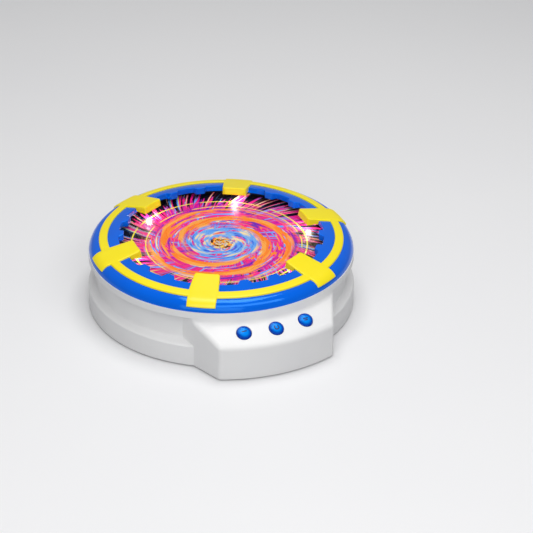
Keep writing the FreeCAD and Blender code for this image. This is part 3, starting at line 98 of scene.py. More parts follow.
BUTTON_RING = 140.0
BUTTON_HEIGHT = 43.15
BUTTON_RADIUS = 7.2
FLANGE_RADIUS = 8.8
FLANGE_TOP = -5.5
FLANGE_FOOT = -6.7
CONSOLE_SLOPE = math.radians(29.4)
BUTTON_TURN = math.radians(12.8)

# Finer shapes of the visual pieces alone, in millimetres

TOOTH_TIP_HALF = 2.1
TOOTH_BASE_HALF = 4.3
LIP_ROLL = 1.1
ARM_ROLL = 1.0
ARM_FOOT_ROLL = 2.0
ARM_CORNER = 3.2
ARM_TAIL_ROLL = 0.8
BAND_ROLL = 0.95
CROWN_EDGE = 1.0
CROWN_RISE = 1.0
CAP_ROLL = 1.3
HOLLOW_RADIUS = 6.2
HOLLOW_TOP = -5.4
MARK_HALF = 0.55
MARK_LIFT = 0.12


# Colours are written as they look on screen

def channel(value):
    value = value / 255
    if value <= 0.04045:
        return value / 12.92
    return ((value + 0.055) / 1.055) ** 2.4


def colour(red, green, blue):
    return (channel(red), channel(green), channel(blue), 1.0)


# Node helpers

def clear_tree(tree):
    for old in list(tree.nodes):
        tree.nodes.remove(old)


def add(tree, kind, **settings):
    made = tree.nodes.new(kind)
    for key, value in settings.items():
        setattr(made, key, value)
    return made


def feed(tree, target, source):
    """Links a socket, or sets a plain value on it."""
    if isinstance(source, bpy.types.NodeSocket):
        tree.links.new(source, target)
    else:
        target.default_value = source


def math_node(tree, operation, first, second=None):
    made = add(tree, "ShaderNodeMath", operation=operation)
    feed(tree, made.inputs[0], first)
    if second is not None:
        feed(tree, made.inputs[1], second)
    return made.outputs[0]


def vector_node(tree, operation, first, second=None, scale=None):
    made = add(tree, "ShaderNodeVectorMath", operation=operation)
    feed(tree, made.inputs[0], first)
    if second is not None:
        feed(tree, made.inputs[1], second)
    if scale is not None:
        feed(tree, made.inputs["Scale"], scale)
    if operation in ("LENGTH", "DOT_PRODUCT", "DISTANCE"):
        return made.outputs["Value"]
    return made.outputs["Vector"]


def noise(tree, vector, scale, detail=2.0, rough=0.5):
    made = add(tree, "ShaderNodeTexNoise", noise_dimensions="3D")
    feed(tree, made.inputs["Vector"], vector)
    made.inputs["Scale"].default_value = scale
    made.inputs["Detail"].default_value = detail
    made.inputs["Roughness"].default_value = rough
    return made.outputs[0]


def span(tree, value, low, high, to_low=0.0, to_high=1.0, smooth=True):
    """Maps low..high on to to_low..to_high, held at both ends."""
    made = add(tree, "ShaderNodeMapRange", clamp=True)
    made.interpolation_type = "SMOOTHSTEP" if smooth else "LINEAR"
    feed(tree, made.inputs["Value"], value)
    feed(tree, made.inputs["From Min"], low)
    feed(tree, made.inputs["From Max"], high)
    feed(tree, made.inputs["To Min"], to_low)
    feed(tree, made.inputs["To Max"], to_high)
    return made.outputs["Result"]


def blend(tree, factor, first, second):
    made = add(tree, "ShaderNodeMix", data_type="RGBA")
    feed(tree, made.inputs["Factor"], factor)
    feed(tree, made.inputs[6], first)
    feed(tree, made.inputs[7], second)
    return made.outputs[2]


def ramp(tree, value, stops, steps=False):
    made = add(tree, "ShaderNodeValToRGB")
    band = made.color_ramp
    band.interpolation = "CONSTANT" if steps else "LINEAR"
    while len(band.elements) > 1:
        band.elements.remove(band.elements[-1])
    band.elements[0].position = stops[0][0]
    band.elements[0].color = stops[0][1]
    for place, tint in stops[1:]:
        extra = band.elements.new(place)
        extra.color = tint
    feed(tree, made.inputs["Fac"], value)
    return made.outputs["Color"]


def bump(tree, height, strength, distance, normal=None):
    made = add(tree, "ShaderNodeBump")
    made.inputs["Strength"].default_value = strength
    made.inputs["Distance"].default_value = distance
    feed(tree, made.inputs["Height"], height)
    if normal is not None:
        feed(tree, made.inputs["Normal"], normal)
    return made.outputs["Normal"]


def object_place(tree):
    made = add(tree, "ShaderNodeTexCoord")
    return made.outputs["Object"]


# Shared effects

def moulded_group():
    """Masks and normal of injection moulded plastic: flow shade, handling haze, fine spark texture."""
    group = bpy.data.node_groups.new("moulded_skin", "ShaderNodeTree")
    face = group.interface
    face.new_socket("Flow", in_out="OUTPUT", socket_type="NodeSocketFloat")
    face.new_socket("Haze", in_out="OUTPUT", socket_type="NodeSocketFloat")
    face.new_socket("Normal", in_out="OUTPUT", socket_type="NodeSocketVector")
    out = add(group, "NodeGroupOutput")
    place = object_place(group)
    flow = noise(group, place, 14.0, 3.0, 0.55)
    haze = noise(group, place, 55.0, 4.0, 0.6)
    grain = noise(group, place, 2600.0, 2.0, 0.5)
    sink = noise(group, place, 32.0, 1.0, 0.4)
    sunk = bump(group, sink, 0.12, 0.0006)
    fine = bump(group, grain, 0.05, 0.00005, sunk)
    feed(group, out.inputs["Flow"], span(group, flow, 0.3, 0.7))
    feed(group, out.inputs["Haze"], span(group, haze, 0.35, 0.75))
    feed(group, out.inputs["Normal"], fine)
    return group


def worked_group():
    """Masks and normal of worked metal: drawing lines along Z and small tarnish patches."""
    group = bpy.data.node_groups.new("worked_metal", "ShaderNodeTree")
    face = group.interface
    face.new_socket("Lines", in_out="OUTPUT", socket_type="NodeSocketFloat")
    face.new_socket("Tarnish", in_out="OUTPUT", socket_type="NodeSocketFloat")
    face.new_socket("Normal", in_out="OUTPUT", socket_type="NodeSocketVector")
    out = add(group, "NodeGroupOutput")
    place = object_place(group)
    long_way = vector_node(group, "MULTIPLY", place, (1.0, 1.0, 0.06))
    lines = noise(group, long_way, 1900.0, 2.0, 0.6)
    tarnish = noise(group, place, 160.0, 4.0, 0.6)
    feed(group, out.inputs["Lines"], lines)
    feed(group, out.inputs["Tarnish"], span(group, tarnish, 0.45, 0.8))
    feed(group, out.inputs["Normal"], bump(group, lines, 0.15, 0.00006))
    return group


MOULDED = moulded_group()
WORKED = worked_group()


def new_material(name):
    made = bpy.data.materials.new(name)
    made.use_nodes = True
    tree = made.node_tree
    clear_tree(tree)
    out = add(tree, "ShaderNodeOutputMaterial")
    shader = add(tree, "ShaderNodeBsdfPrincipled")
    tree.links.new(shader.outputs["BSDF"], out.inputs["Surface"])
    return made, tree, shader


def plastic(name, main, deep, rough=0.32, haze=0.12, specular=0.5, tint=(1.0, 1.0, 1.0, 1.0)):
    """Moulded plastic: main colour, a slightly deeper flow colour, and haze that lifts the roughness."""
    made, tree, shader = new_material(name)
    skin = add(tree, "ShaderNodeGroup", node_tree=MOULDED)
    feed(tree, shader.inputs["Base Color"], blend(tree, skin.outputs["Flow"], main, deep))
    feed(tree, shader.inputs["Roughness"],
         span(tree, skin.outputs["Haze"], 0.0, 1.0, rough, rough + haze, smooth=False))
    feed(tree, shader.inputs["Normal"], skin.outputs["Normal"])
    shader.inputs["Specular IOR Level"].default_value = specular
    shader.inputs["Specular Tint"].default_value = tint
    return made


def metal(name, main, dull, rough=0.25):
    made, tree, shader = new_material(name)
    skin = add(tree, "ShaderNodeGroup", node_tree=WORKED)
    feed(tree, shader.inputs["Base Color"], blend(tree, skin.outputs["Tarnish"], main, dull))
    feed(tree, shader.inputs["Roughness"],
         span(tree, skin.outputs["Lines"], 0.2, 0.8, rough, rough + 0.2, smooth=False))
    feed(tree, shader.inputs["Normal"], skin.outputs["Normal"])
    shader.inputs["Metallic"].default_value = 1.0
    return made


def rubber_like(name, main, worn):
    made, tree, shader = new_material(name)
    place = object_place(tree)
    scuff = noise(tree, place, 90.0, 5.0, 0.65)
    grain = noise(tree, place, 1500.0, 2.0, 0.6)
    feed(tree, shader.inputs["Base Color"], blend(tree, span(tree, scuff, 0.4, 0.75), main, worn))
    feed(tree, shader.inputs["Roughness"], span(tree, scuff, 0.2, 0.8, 0.62, 0.82, smooth=False))
    feed(tree, shader.inputs["Normal"], bump(tree, grain, 0.25, 0.0001))
    shader.inputs["Specular IOR Level"].default_value = 0.35
    return made


def board_material():
    """Green solder resist with copper tracks that show through as a paler pattern."""
    made, tree, shader = new_material("board_resist")
    place = object_place(tree)
    cells = add(tree, "ShaderNodeTexBrick")
    feed(tree, cells.inputs["Vector"], place)
    cells.inputs["Scale"].default_value = 190.0
    cells.inputs["Mortar Size"].default_value = 0.08
    cells.inputs["Color1"].default_value = (0.0, 0.0, 0.0, 1.0)
    cells.inputs["Color2"].default_value = (0.35, 0.35, 0.35, 1.0)
    cells.inputs["Mortar"].default_value = (1.0, 1.0, 1.0, 1.0)
    tracks = cells.outputs["Color"]
    feed(tree, shader.inputs["Base Color"],
         blend(tree, tracks, colour(18, 84, 44), colour(52, 132, 72)))
    feed(tree, shader.inputs["Normal"], bump(tree, tracks, 0.3, 0.00005))
    shader.inputs["Roughness"].default_value = 0.35
    return made


def cell_material():
    """A plain battery sleeve: one dark body colour, a coloured end band and a thin seam, no print."""
    made, tree, shader = new_material("cell_sleeve")
    place = object_place(tree)
    grain = noise(tree, place, 240.0, 3.0, 0.5)
    streak = noise(tree, vector_node(tree, "MULTIPLY", place, (0.05, 1.0, 1.0)), 900.0, 2.0, 0.5)
    tint = blend(tree, span(tree, grain, 0.35, 0.7), colour(58, 62, 70), colour(78, 84, 94))
    feed(tree, shader.inputs["Base Color"], tint)
    feed(tree, shader.inputs["Roughness"], span(tree, streak, 0.3, 0.7, 0.22, 0.4))
    shader.inputs["Coat Weight"].default_value = 0.4
    return made


def lamp_material():
    """A clear lamp that is lit: warm white, its tint varied a little by noise."""
    made, tree, shader = new_material("lamp_lit")
    place = object_place(tree)
    swirl = noise(tree, place, 500.0, 2.0, 0.5)
    tint = blend(tree, swirl, colour(255, 252, 240), colour(255, 255, 255))
    feed(tree, shader.inputs["Base Color"], tint)
    feed(tree, shader.inputs["Emission Color"], tint)
    shader.inputs["Emission Strength"].default_value = 70.0
    shader.inputs["Roughness"].default_value = 0.15
    return made


# The spun paint on the card, a plain design of its own. Places on the card run from 0 at its middle
# to 1 at its edge, and a wind value turns them further the further out they lie.

INK = colour(8, 6, 10)
PINK = colour(255, 22, 140)
ROSE = colour(238, 40, 110)
MAGENTA = colour(206, 8, 158)
PURPLE = colour(112, 34, 178)
SKY = colour(96, 164, 250)
BLUE = colour(40, 84, 214)
ORANGE = colour(255, 140, 34)
AMBER = colour(255, 168, 70)
LEMON = colour(250, 232, 70)
CREAM = colour(250, 222, 170)


def polar_group():
    """Radius from 0 to 1 and a unit direction for the card, the direction wound by Wind * radius."""
    group = bpy.data.node_groups.new("card_polar", "ShaderNodeTree")
    face = group.interface
    face.new_socket("Wind", in_out="INPUT", socket_type="NodeSocketFloat")
    face.new_socket("Wobble", in_out="INPUT", socket_type="NodeSocketFloat")
    face.new_socket("Radius", in_out="OUTPUT", socket_type="NodeSocketFloat")
    face.new_socket("Direction", in_out="OUTPUT", socket_type="NodeSocketVector")
    into = add(group, "NodeGroupInput")
    out = add(group, "NodeGroupOutput")
    flat = vector_node(group, "MULTIPLY", object_place(group), (1.0, 1.0, 0.0))
    unit = vector_node(group, "SCALE", flat, scale=1 / (CARD_RADIUS * MM))
    plain = vector_node(group, "LENGTH", unit)
    wave = noise(group, unit, 2.2, 2.0, 0.5)
    shift = math_node(group, "MULTIPLY", math_node(group, "SUBTRACT", wave, 0.5), into.outputs["Wobble"])
    radius = math_node(group, "ADD", plain, shift)
    turn = math_node(group, "MULTIPLY", radius, into.outputs["Wind"])
    wound = add(group, "ShaderNodeVectorRotate", rotation_type="Z_AXIS")
    feed(group, wound.inputs["Vector"], vector_node(group, "NORMALIZE", unit))
    feed(group, wound.inputs["Angle"], turn)
    feed(group, out.inputs["Radius"], radius)
    feed(group, out.inputs["Direction"], wound.outputs["Vector"])
    return group


POLAR = polar_group()


def wound_place(tree, wind, wobble=0.0):
    made = add(tree, "ShaderNodeGroup", node_tree=POLAR)
    made.inputs["Wind"].default_value = wind
    made.inputs["Wobble"].default_value = wobble
    return made.outputs["Radius"], made.outputs["Direction"]


def streaks(tree, wind, fine, along, seed, detail=2.0, wobble=0.0):
    """Noise drawn out along a wound path: fine sets how narrow a strand is, along how soon it ends."""
    radius, heading = wound_place(tree, wind, wobble)
    wide = vector_node(tree, "SCALE", heading, scale=fine)
    rise = add(tree, "ShaderNodeCombineXYZ")
    feed(tree, rise.inputs["Z"], math_node(tree, "MULTIPLY_ADD", radius, along))
    rise.inputs["X"].default_value = seed
    rise.inputs["Y"].default_value = seed * 0.37
    where = vector_node(tree, "ADD", wide, rise.outputs["Vector"])
    return noise(tree, where, 1.0, detail, 0.55)


def card_material():
    """Black card under a pink and purple field, three orange arms, blue pools and a lemon heart."""
    made, tree, shader = new_material("spun_paint")
    radius = wound_place(tree, 0.0)[0]

    # pink to purple field whose edge is torn into strands over the black card
    field = ramp(tree, span(tree, streaks(tree, 0.7, 17.0, 3.0, 3.0, 1.5), 0.3, 0.7), [
        (0.0, PURPLE), (0.16, MAGENTA), (0.34, PINK), (0.6, ROSE), (0.78, MAGENTA), (0.94, SKY),
    ])
    torn = streaks(tree, 0.4, 24.0, 1.2, 11.0, 1.5)
    reach = span(tree, torn, 0.32, 0.68, 0.6, 0.98, smooth=False)
    covered = span(tree, math_node(tree, "SUBTRACT", reach, radius), 0.0, 0.01)
    surface = blend(tree, covered, INK, field)

    # flung strands of many colours near the edge
    strand = streaks(tree, 0.5, 34.0, 0.8, 23.0, 0.5)
    strand_tint = ramp(tree, streaks(tree, 0.5, 27.0, 0.5, 31.0, 0.0), [
        (0.0, PINK), (0.38, CREAM), (0.43, ROSE), (0.5, INK), (0.56, SKY), (0.61, LEMON),
        (0.66, PINK),
    ], steps=True)
    strand_mask = span(tree, strand, 0.53, 0.57)
    strand_zone = span(tree, radius, 0.68, 0.8)
    surface = blend(tree, math_node(tree, "MULTIPLY", strand_mask, strand_zone), surface, strand_tint)

    # long concentric threads inside the field
    thread = streaks(tree, 5.0, 1.4, 26.0, 41.0, 1.0, 0.03)
    thread_tint = ramp(tree, streaks(tree, 5.0, 1.4, 18.0, 47.0, 1.0, 0.03), [
        (0.0, PURPLE), (0.36, MAGENTA), (0.43, ORANGE), (0.49, PINK), (0.57, SKY), (0.63, CREAM),
        (0.7, BLUE),
    ], steps=True)
    inner = span(tree, radius, 0.76, 0.64)
    surface = blend(tree, math_node(tree, "MULTIPLY", span(tree, thread, 0.47, 0.52), inner),
                    surface, thread_tint)

    # three broad orange arms that wind out through it
    arm_radius, arm_heading = wound_place(tree, 11.0, 0.05)
    turned = add(tree, "ShaderNodeSeparateXYZ")
    feed(tree, turned.inputs["Vector"], arm_heading)
    angle = math_node(tree, "ARCTAN2", turned.outputs["Y"], turned.outputs["X"])
    arms = math_node(tree, "COSINE", math_node(tree, "MULTIPLY", angle, 3.0))
    frayed = streaks(tree, 11.0, 2.0, 20.0, 53.0, 1.0, 0.05)
    arm_level = math_node(tree, "ADD", arms, span(tree, frayed, 0.25, 0.75, -1.6, 1.2, smooth=False))
    arm_zone = math_node(tree, "MULTIPLY", span(tree, arm_radius, 0.3, 0.36),
                         span(tree, arm_radius, 0.7, 0.63))
    arm_mask = math_node(tree, "MULTIPLY", span(tree, arm_level, -0.05, 0.08), arm_zone)
    arm_tint = ramp(tree, frayed, [(0.38, ORANGE), (0.5, colour(255, 126, 20)), (0.6, AMBER)])
    surface = blend(tree, arm_mask, surface, arm_tint)

    # blue pools round the middle
    pool = streaks(tree, 9.0, 1.8, 16.0, 61.0, 1.0, 0.04)
    pool_mask = math_node(tree, "MULTIPLY", span(tree, pool, 0.4, 0.46), span(tree, radius, 0.38, 0.31))
    pool_tint = ramp(tree, streaks(tree, 9.0, 1.8, 24.0, 67.0, 1.0, 0.04), [
        (0.3, BLUE), (0.42, SKY), (0.56, colour(120, 176, 240)), (0.66, CREAM),
    ])
    surface = blend(tree, pool_mask, surface, pool_tint)

    # a lemon and orange heart with thin dark threads
    heart = span(tree, radius, 0.115, 0.1)
    heart_tint = ramp(tree, streaks(tree, 14.0, 1.5, 34.0, 71.0, 1.0), [
        (0.0, INK), (0.41, ORANGE), (0.5, LEMON), (0.56, BLUE), (0.62, CREAM),
    ], steps=True)
    surface = blend(tree, heart, surface, heart_tint)

    # two thin lemon rings a little off centre
    for number, (place, width, across, along) in enumerate((
        (0.8, 0.009, 0.016, -0.01), (0.71, 0.007, -0.02, 0.012),
    )):
        shift = (across * CARD_RADIUS * MM, along * CARD_RADIUS * MM, 0.0)
        off = vector_node(tree, "ADD", object_place(tree), shift)
        flat = vector_node(tree, "MULTIPLY", off, (1.0, 1.0, 0.0))
        reach = math_node(tree, "DIVIDE", vector_node(tree, "LENGTH", flat), CARD_RADIUS * MM)
        gap = math_node(tree, "ABSOLUTE", math_node(tree, "SUBTRACT", reach, place))
        line = span(tree, gap, width, width * 0.5)
        broken = streaks(tree, 2.0, 3.0, 6.0, 83.0 + number * 9)
        mask = math_node(tree, "MULTIPLY", line, span(tree, broken, 0.36, 0.44))
        surface = blend(tree, mask, surface, LEMON)

    feed(tree, shader.inputs["Base Color"], surface)
    wet = streaks(tree, 4.0, 12.0, 16.0, 91.0, 2.0)
    feed(tree, shader.inputs["Roughness"], span(tree, wet, 0.35, 0.65, 0.24, 0.42))
    ridges = math_node(tree, "ADD", span(tree, strand, 0.45, 0.62), span(tree, thread, 0.4, 0.6))
    feed(tree, shader.inputs["Normal"], bump(tree, ridges, 0.2, 0.0003))
    shader.inputs["Specular IOR Level"].default_value = 0.4
    return made


def button_material():
    """Blue with a painted highlight toward the crowned middle and painted shade at the rolled edge."""
    made, tree, shader = new_material("button_moulding")
    skin = add(tree, "ShaderNodeGroup", node_tree=MOULDED)
    flat = vector_node(tree, "MULTIPLY", object_place(tree), (1.0, 1.0, 0.0))
    out = math_node(tree, "DIVIDE", vector_node(tree, "LENGTH", flat), BUTTON_RADIUS * MM)
    deep = blend(tree, skin.outputs["Flow"], colour(0, 52, 168), colour(0, 46, 158))
    # painted highlight and painted shade: the cap's blue grows paler toward its middle and darker toward
    # its edge
    feed(tree, shader.inputs["Base Color"],
         blend(tree, span(tree, out, 0.35, 0.9), colour(0, 136, 244), deep))
    feed(tree, shader.inputs["Roughness"],
         span(tree, skin.outputs["Haze"], 0.0, 1.0, 0.12, 0.2, smooth=False))
    feed(tree, shader.inputs["Normal"], skin.outputs["Normal"])
    shader.inputs["Specular IOR Level"].default_value = 0.5
    shader.inputs["Specular Tint"].default_value = BLUE_PAINTED_REFLECTION
    return made


# painted reflection colour: the reflections are real, but this tint makes them blue as though blue
# surroundings were reflected
BLUE_PAINTED_REFLECTION = (0.12, 0.55, 1.0, 1.0)

WHITE = plastic("white_moulding", colour(240, 240, 240), colour(236, 236, 237), 0.42, 0.1, 0.4)
DEEP_BLUE = plastic("blue_moulding", colour(0, 104, 236), colour(0, 96, 226), 0.1, 0.05, 0.95, BLUE_PAINTED_REFLECTION)
YELLOW = plastic("yellow_moulding", colour(255, 237, 24), colour(254, 232, 14), 0.3, 0.1, 0.5)
BUTTON = button_material()
BUTTON_MARK = plastic("button_mark", colour(4, 20, 88), colour(4, 16, 78), 0.3)
BLACK = plastic("black_moulding", colour(14, 14, 16), colour(20, 20, 23), 0.4, 0.15)
GREY = plastic("grey_moulding", colour(120, 122, 126), colour(110, 112, 116), 0.42)
GEAR = plastic("gear_moulding", colour(236, 232, 220), colour(226, 221, 206), 0.45)
LAMP = lamp_material()
WIRE = plastic("wire_sleeve", colour(190, 30, 32), colour(170, 24, 26), 0.4)
STEEL = metal("bright_steel", colour(196, 198, 202), colour(150, 152, 156))
IRON = metal("laminated_iron", colour(120, 122, 126), colour(88, 88, 90), 0.4)
BRONZE = metal("sintered_bronze", colour(196, 142, 82), colour(148, 104, 62), 0.45)
NICKEL = metal("nickel_plate", colour(210, 206, 196), colour(176, 172, 162), 0.2)
RUBBER = rubber_like("foot_rubber", colour(34, 34, 36), colour(52, 52, 54))
BOARD = board_material()
PARTS = plastic("part_moulding", colour(28, 28, 30), colour(40, 40, 42), 0.35)
CELL = cell_material()
CARD = card_material()

BY_SLOT = {
    "white_shell": WHITE,
    "blue_shell": DEEP_BLUE,
    "yellow_shell": YELLOW,
    "button_blue": BUTTON,
    "black_plastic": BLACK,
    "grey_plastic": GREY,
    "gear_plastic": GEAR,
    "card": CARD,
    "lamp_lens": LAMP,
    "wire": WIRE,
    "steel": STEEL,
    "iron": IRON,
    "bronze": BRONZE,
    "nickel": NICKEL,
    "rubber": RUBBER,
    "board": BOARD,
    "parts": PARTS,
    "cell": CELL,
}

for node_name, carried in nodes.items():
    for slot in carried.material_slots:
        old = slot.material.name.split(".")[0] if slot.material else ""
        if old in BY_SLOT:
            slot.material = BY_SLOT[old]
        else:
            print("no material for", node_name, old)


# Mesh helpers, in millimetres about the turntable's axis

def make_piece(name, points, faces, material, sharp=40.0, place=None):
    """A smooth mesh with sharp edges above an angle. Its points are in its own frame, in millimetres,
    and place puts that frame about the turntable's axis."""
    mesh = bpy.data.meshes.new(name)
    mesh.from_pydata([tuple(value * MM for value in point) for point in points], [], faces)
    mesh.validate()
    mesh.update()
    mesh.shade_smooth()
    mesh.set_sharp_from_angle(angle=math.radians(sharp))
    mesh.materials.append(material)
    made = bpy.data.objects.new(name, mesh)
    place = place.copy() if place else Matrix()
    place.translation = place.translation * MM + Vector((AXIS_X, AXIS_Y, 0.0))
    made.matrix_world = place
    bpy.context.scene.collection.objects.link(made)
    return made


def grid_faces(rows, columns, start=0, loop=False):
    """Quads between closed rows of points; loop also joins the last row to the first."""
    faces = []
    for row in range(rows if loop else rows - 1):
        below = (row + 1) % rows
        for column in range(columns):
            beside = (column + 1) % columns
            faces.append((
                start + row * columns + column,
                start + row * columns + beside,
                start + below * columns + beside,
                start + below * columns + column,
            ))
    return faces


def rim_crown(radius):
    """Height of the rim's flat top at a radius."""
    return RIM_CROWN + (RING_INNER - radius) * math.tan(SLOPE)


def arc(centre, radius, start, finish, steps):
    """Points of a circle arc in a section, from start to finish in degrees from straight up."""
    points = []
    for step in range(steps + 1):
        turn = math.radians(start + (finish - start) * step / steps)
        points.append((centre[0] + radius * math.sin(turn), centre[1] + radius * math.cos(turn)))
    return points


# Splash rim

def smooth_step(value):
    value = min(1.0, max(0.0, value))
    return value * value * (3 - 2 * value)


def tooth_inset(degrees):
    """How far a tooth reaches in at an angle; two teeth to each gap between arms."""
    within = (degrees % ARM_PITCH) - ARM_PITCH / 2
    off = min(abs(within - TOOTH_SPREAD), abs(within + TOOTH_SPREAD))
    return TOOTH_DEPTH * (1 - smooth_step((off - TOOTH_TIP_HALF) / (TOOTH_BASE_HALF - TOOTH_TIP_HALF)))


def rim_angles():
    """Angles of the rim's columns in degrees, closer together at the teeth."""
    middle = ARM_PITCH / 2
    angles = []
    for sector in range(ARM_COUNT):
        place = 0.0
        while place < ARM_PITCH - 1e-6:
            angles.append(sector * ARM_PITCH + place)
            near = min(abs(place - middle + TOOTH_SPREAD), abs(place - middle - TOOTH_SPREAD))
            place += 0.25 if near < 5.0 else 1.0
    return angles


def build_rim():
    angles = rim_angles()
    count = len(angles)
    outline = []
    for degrees in angles:
        turn = math.radians(degrees)
        reach = APERTURE - tooth_inset(degrees)
        outline.append(Vector((reach * math.cos(turn), reach * math.sin(turn))))
    inward = []
    for index in range(count):
        before = outline[index - 1]
        after = outline[(index + 1) % count]
        along = (after - before).normalized()
        inward.append(Vector((along.y, -along.x)))
    rows = []

    def outline_row(offset, drop, height=None):
        row = []
        for point, normal in zip(outline, inward):
            moved = point + normal * offset
            level = rim_crown(moved.length) - drop if height is None else height
            row.append((moved.x, moved.y, level))
        rows.append(row)

    def plain_row(radius, height):
        rows.append([(radius * math.cos(math.radians(a)), radius * math.sin(math.radians(a)), height)
                     for a in angles])

    plain_row(APERTURE + RIM_SKIN, RIM_LIP_FOOT)
    outline_row(0.5, 0, RIM_LIP_FOOT)
    outline_row(0.15, 0, RIM_LIP_FOOT + 0.15)
    outline_row(0.0, 0, RIM_LIP_FOOT + 0.5)
    for step in range(7):
        turn = math.radians(90 * step / 6)
        outline_row(LIP_ROLL * (1 - math.cos(turn)), LIP_ROLL * (1 - math.sin(turn)))
    for radius in (103.5, 105.5, 108.0, RING_INNER, 114.0, 117.0):
        plain_row(radius, rim_crown(radius))
    end_turn = math.degrees(math.acos((RIM_FOOT + 0.6 - ROLL_CENTRE[1]) / ROLL))
    for radius, height in arc(ROLL_CENTRE, ROLL, SLOPE_DEGREES, end_turn, 22):
        plain_row(radius, height)
    plain_row(RIM_EDGE - 0.15, RIM_FOOT + 0.1)
    plain_row(RIM_EDGE - 0.6, RIM_FOOT)
    plain_row(RIM_EDGE - RIM_SKIN, RIM_FOOT)
    for radius, height in arc(ROLL_CENTRE, ROLL - RIM_SKIN, 80.0, SLOPE_DEGREES, 8):
        plain_row(radius, height)
    under = RIM_SKIN / math.cos(SLOPE)
    for radius in (112.0, APERTURE + RIM_SKIN):
        plain_row(radius, rim_crown(radius) - under)
    points = [point for row in rows for point in row]
    faces = grid_faces(len(rows), count, loop=True)
    rim = make_piece("splash_rim_shell", points, faces, DEEP_BLUE, 50.0)
    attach(rim, "housing")
    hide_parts("splash_rim")


# Light ring: the band and six arms

def ring_surface(radius):
    """Top of the light ring at a radius: point and outward normal in the section."""
    arc_out = ROLL + RING_PROUD * math.cos(SLOPE)
    start = ROLL_CENTRE[0] + arc_out * math.sin(SLOPE)
    if radius <= start:
        return radius, rim_crown(radius) + RING_PROUD, math.sin(SLOPE), math.cos(SLOPE)
    sine = (radius - ROLL_CENTRE[0]) / arc_out
    cosine = math.sqrt(1 - sine * sine)
    return radius, ROLL_CENTRE[1] + arc_out * cosine, sine, cosine


def arm_half(radius):
    """Half the width of an arm at a radius, with its rounded inner corners."""
    if radius < ARM_FLARE_START:
        base = ARM_END_HALF
    elif radius < RING_INNER:
        share = (radius - ARM_FLARE_START) / (RING_INNER - ARM_FLARE_START)
        base = ARM_END_HALF + share * (ARM_RING_HALF - ARM_END_HALF)
    else:
        base = ARM_RING_HALF - (radius - RING_INNER) / 40.0
    inset = radius - ARM_END
    if inset < ARM_CORNER:
        gone = ARM_CORNER - inset
        base -= ARM_CORNER - math.sqrt(max(0.0, ARM_CORNER ** 2 - gone ** 2))
    return base


def arm_stations():
    """Rows along an arm: radius and how far the end rounding lowers the row."""
    stations = []
    for step in range(6):
        turn = math.radians(90 * step / 5)
        stations.append((ARM_END + ARM_ROLL * (1 - math.cos(turn)), ARM_ROLL * (1 - math.sin(turn))))
    for radius in (89.5, 90.2, 91.2, 93.0, 96.0, 99.0, 99.9, 100.1, 104.0, 108.0, RING_INNER, 115.5,
                   RING_OUTER):
        stations.append((radius, 0.0))
    arc_out = ROLL + RING_PROUD * math.cos(SLOPE)
    end = math.degrees(math.acos((ARM_DROP - ROLL_CENTRE[1]) / arc_out))
    for turn in (16.0, 20.0, 25.0, 30.0, 35.0, 40.0, 45.0, 50.0, 54.0):
        stations.append((ROLL_CENTRE[0] + arc_out * math.sin(math.radians(turn)), 0.0))
    for step in range(1, 6):
        turn = math.radians(90 * step / 5)
        back = math.degrees(ARM_TAIL_ROLL / arc_out) * (1 - math.sin(turn))
        place = ROLL_CENTRE[0] + arc_out * math.sin(math.radians(end - back))
        stations.append((place, ARM_TAIL_ROLL * (1 - math.cos(turn))))
    return stations


def arm_points():
    """Rows of points along one arm: deep where it reaches in over the opening, thin on the rim."""
    profile = []
    for step in range(6):
        turn = math.radians(90 * step / 5)
        profile.append((ARM_ROLL * (1 - math.cos(turn)), ARM_ROLL * (1 - math.sin(turn))))
    rows = []
    for radius, lowered in arm_stations():
        reach, height, normal_out, normal_up = ring_surface(radius)
        half = arm_half(radius)
        if radius < ARM_DEEP_END:
            gone = max(0.0, ARM_FOOT_ROLL - (radius - ARM_END))
            lift = ARM_FOOT_ROLL - math.sqrt(ARM_FOOT_ROLL ** 2 - gone ** 2)
            deep = (height - ARM_FOOT - lift) / normal_up
        else:
            deep = RING_PROUD + 0.25
        row = []
        left = [(-half, deep)] + [(-half + inset, drop + lowered) for inset, drop in profile]
        middle = [(half * part, lowered) for part in (-0.6, -0.2, 0.2, 0.6)]
        right = [(half - inset, drop + lowered) for inset, drop in reversed(profile)] + [(half, deep)]
        for side, depth in left + middle + right:
            depth = min(depth, deep)
            out = math.sqrt(max(0.0, (reach - normal_out * depth) ** 2 - side * side))
            row.append((out, side, height - normal_up * depth))
        rows.append(row)
    return rows


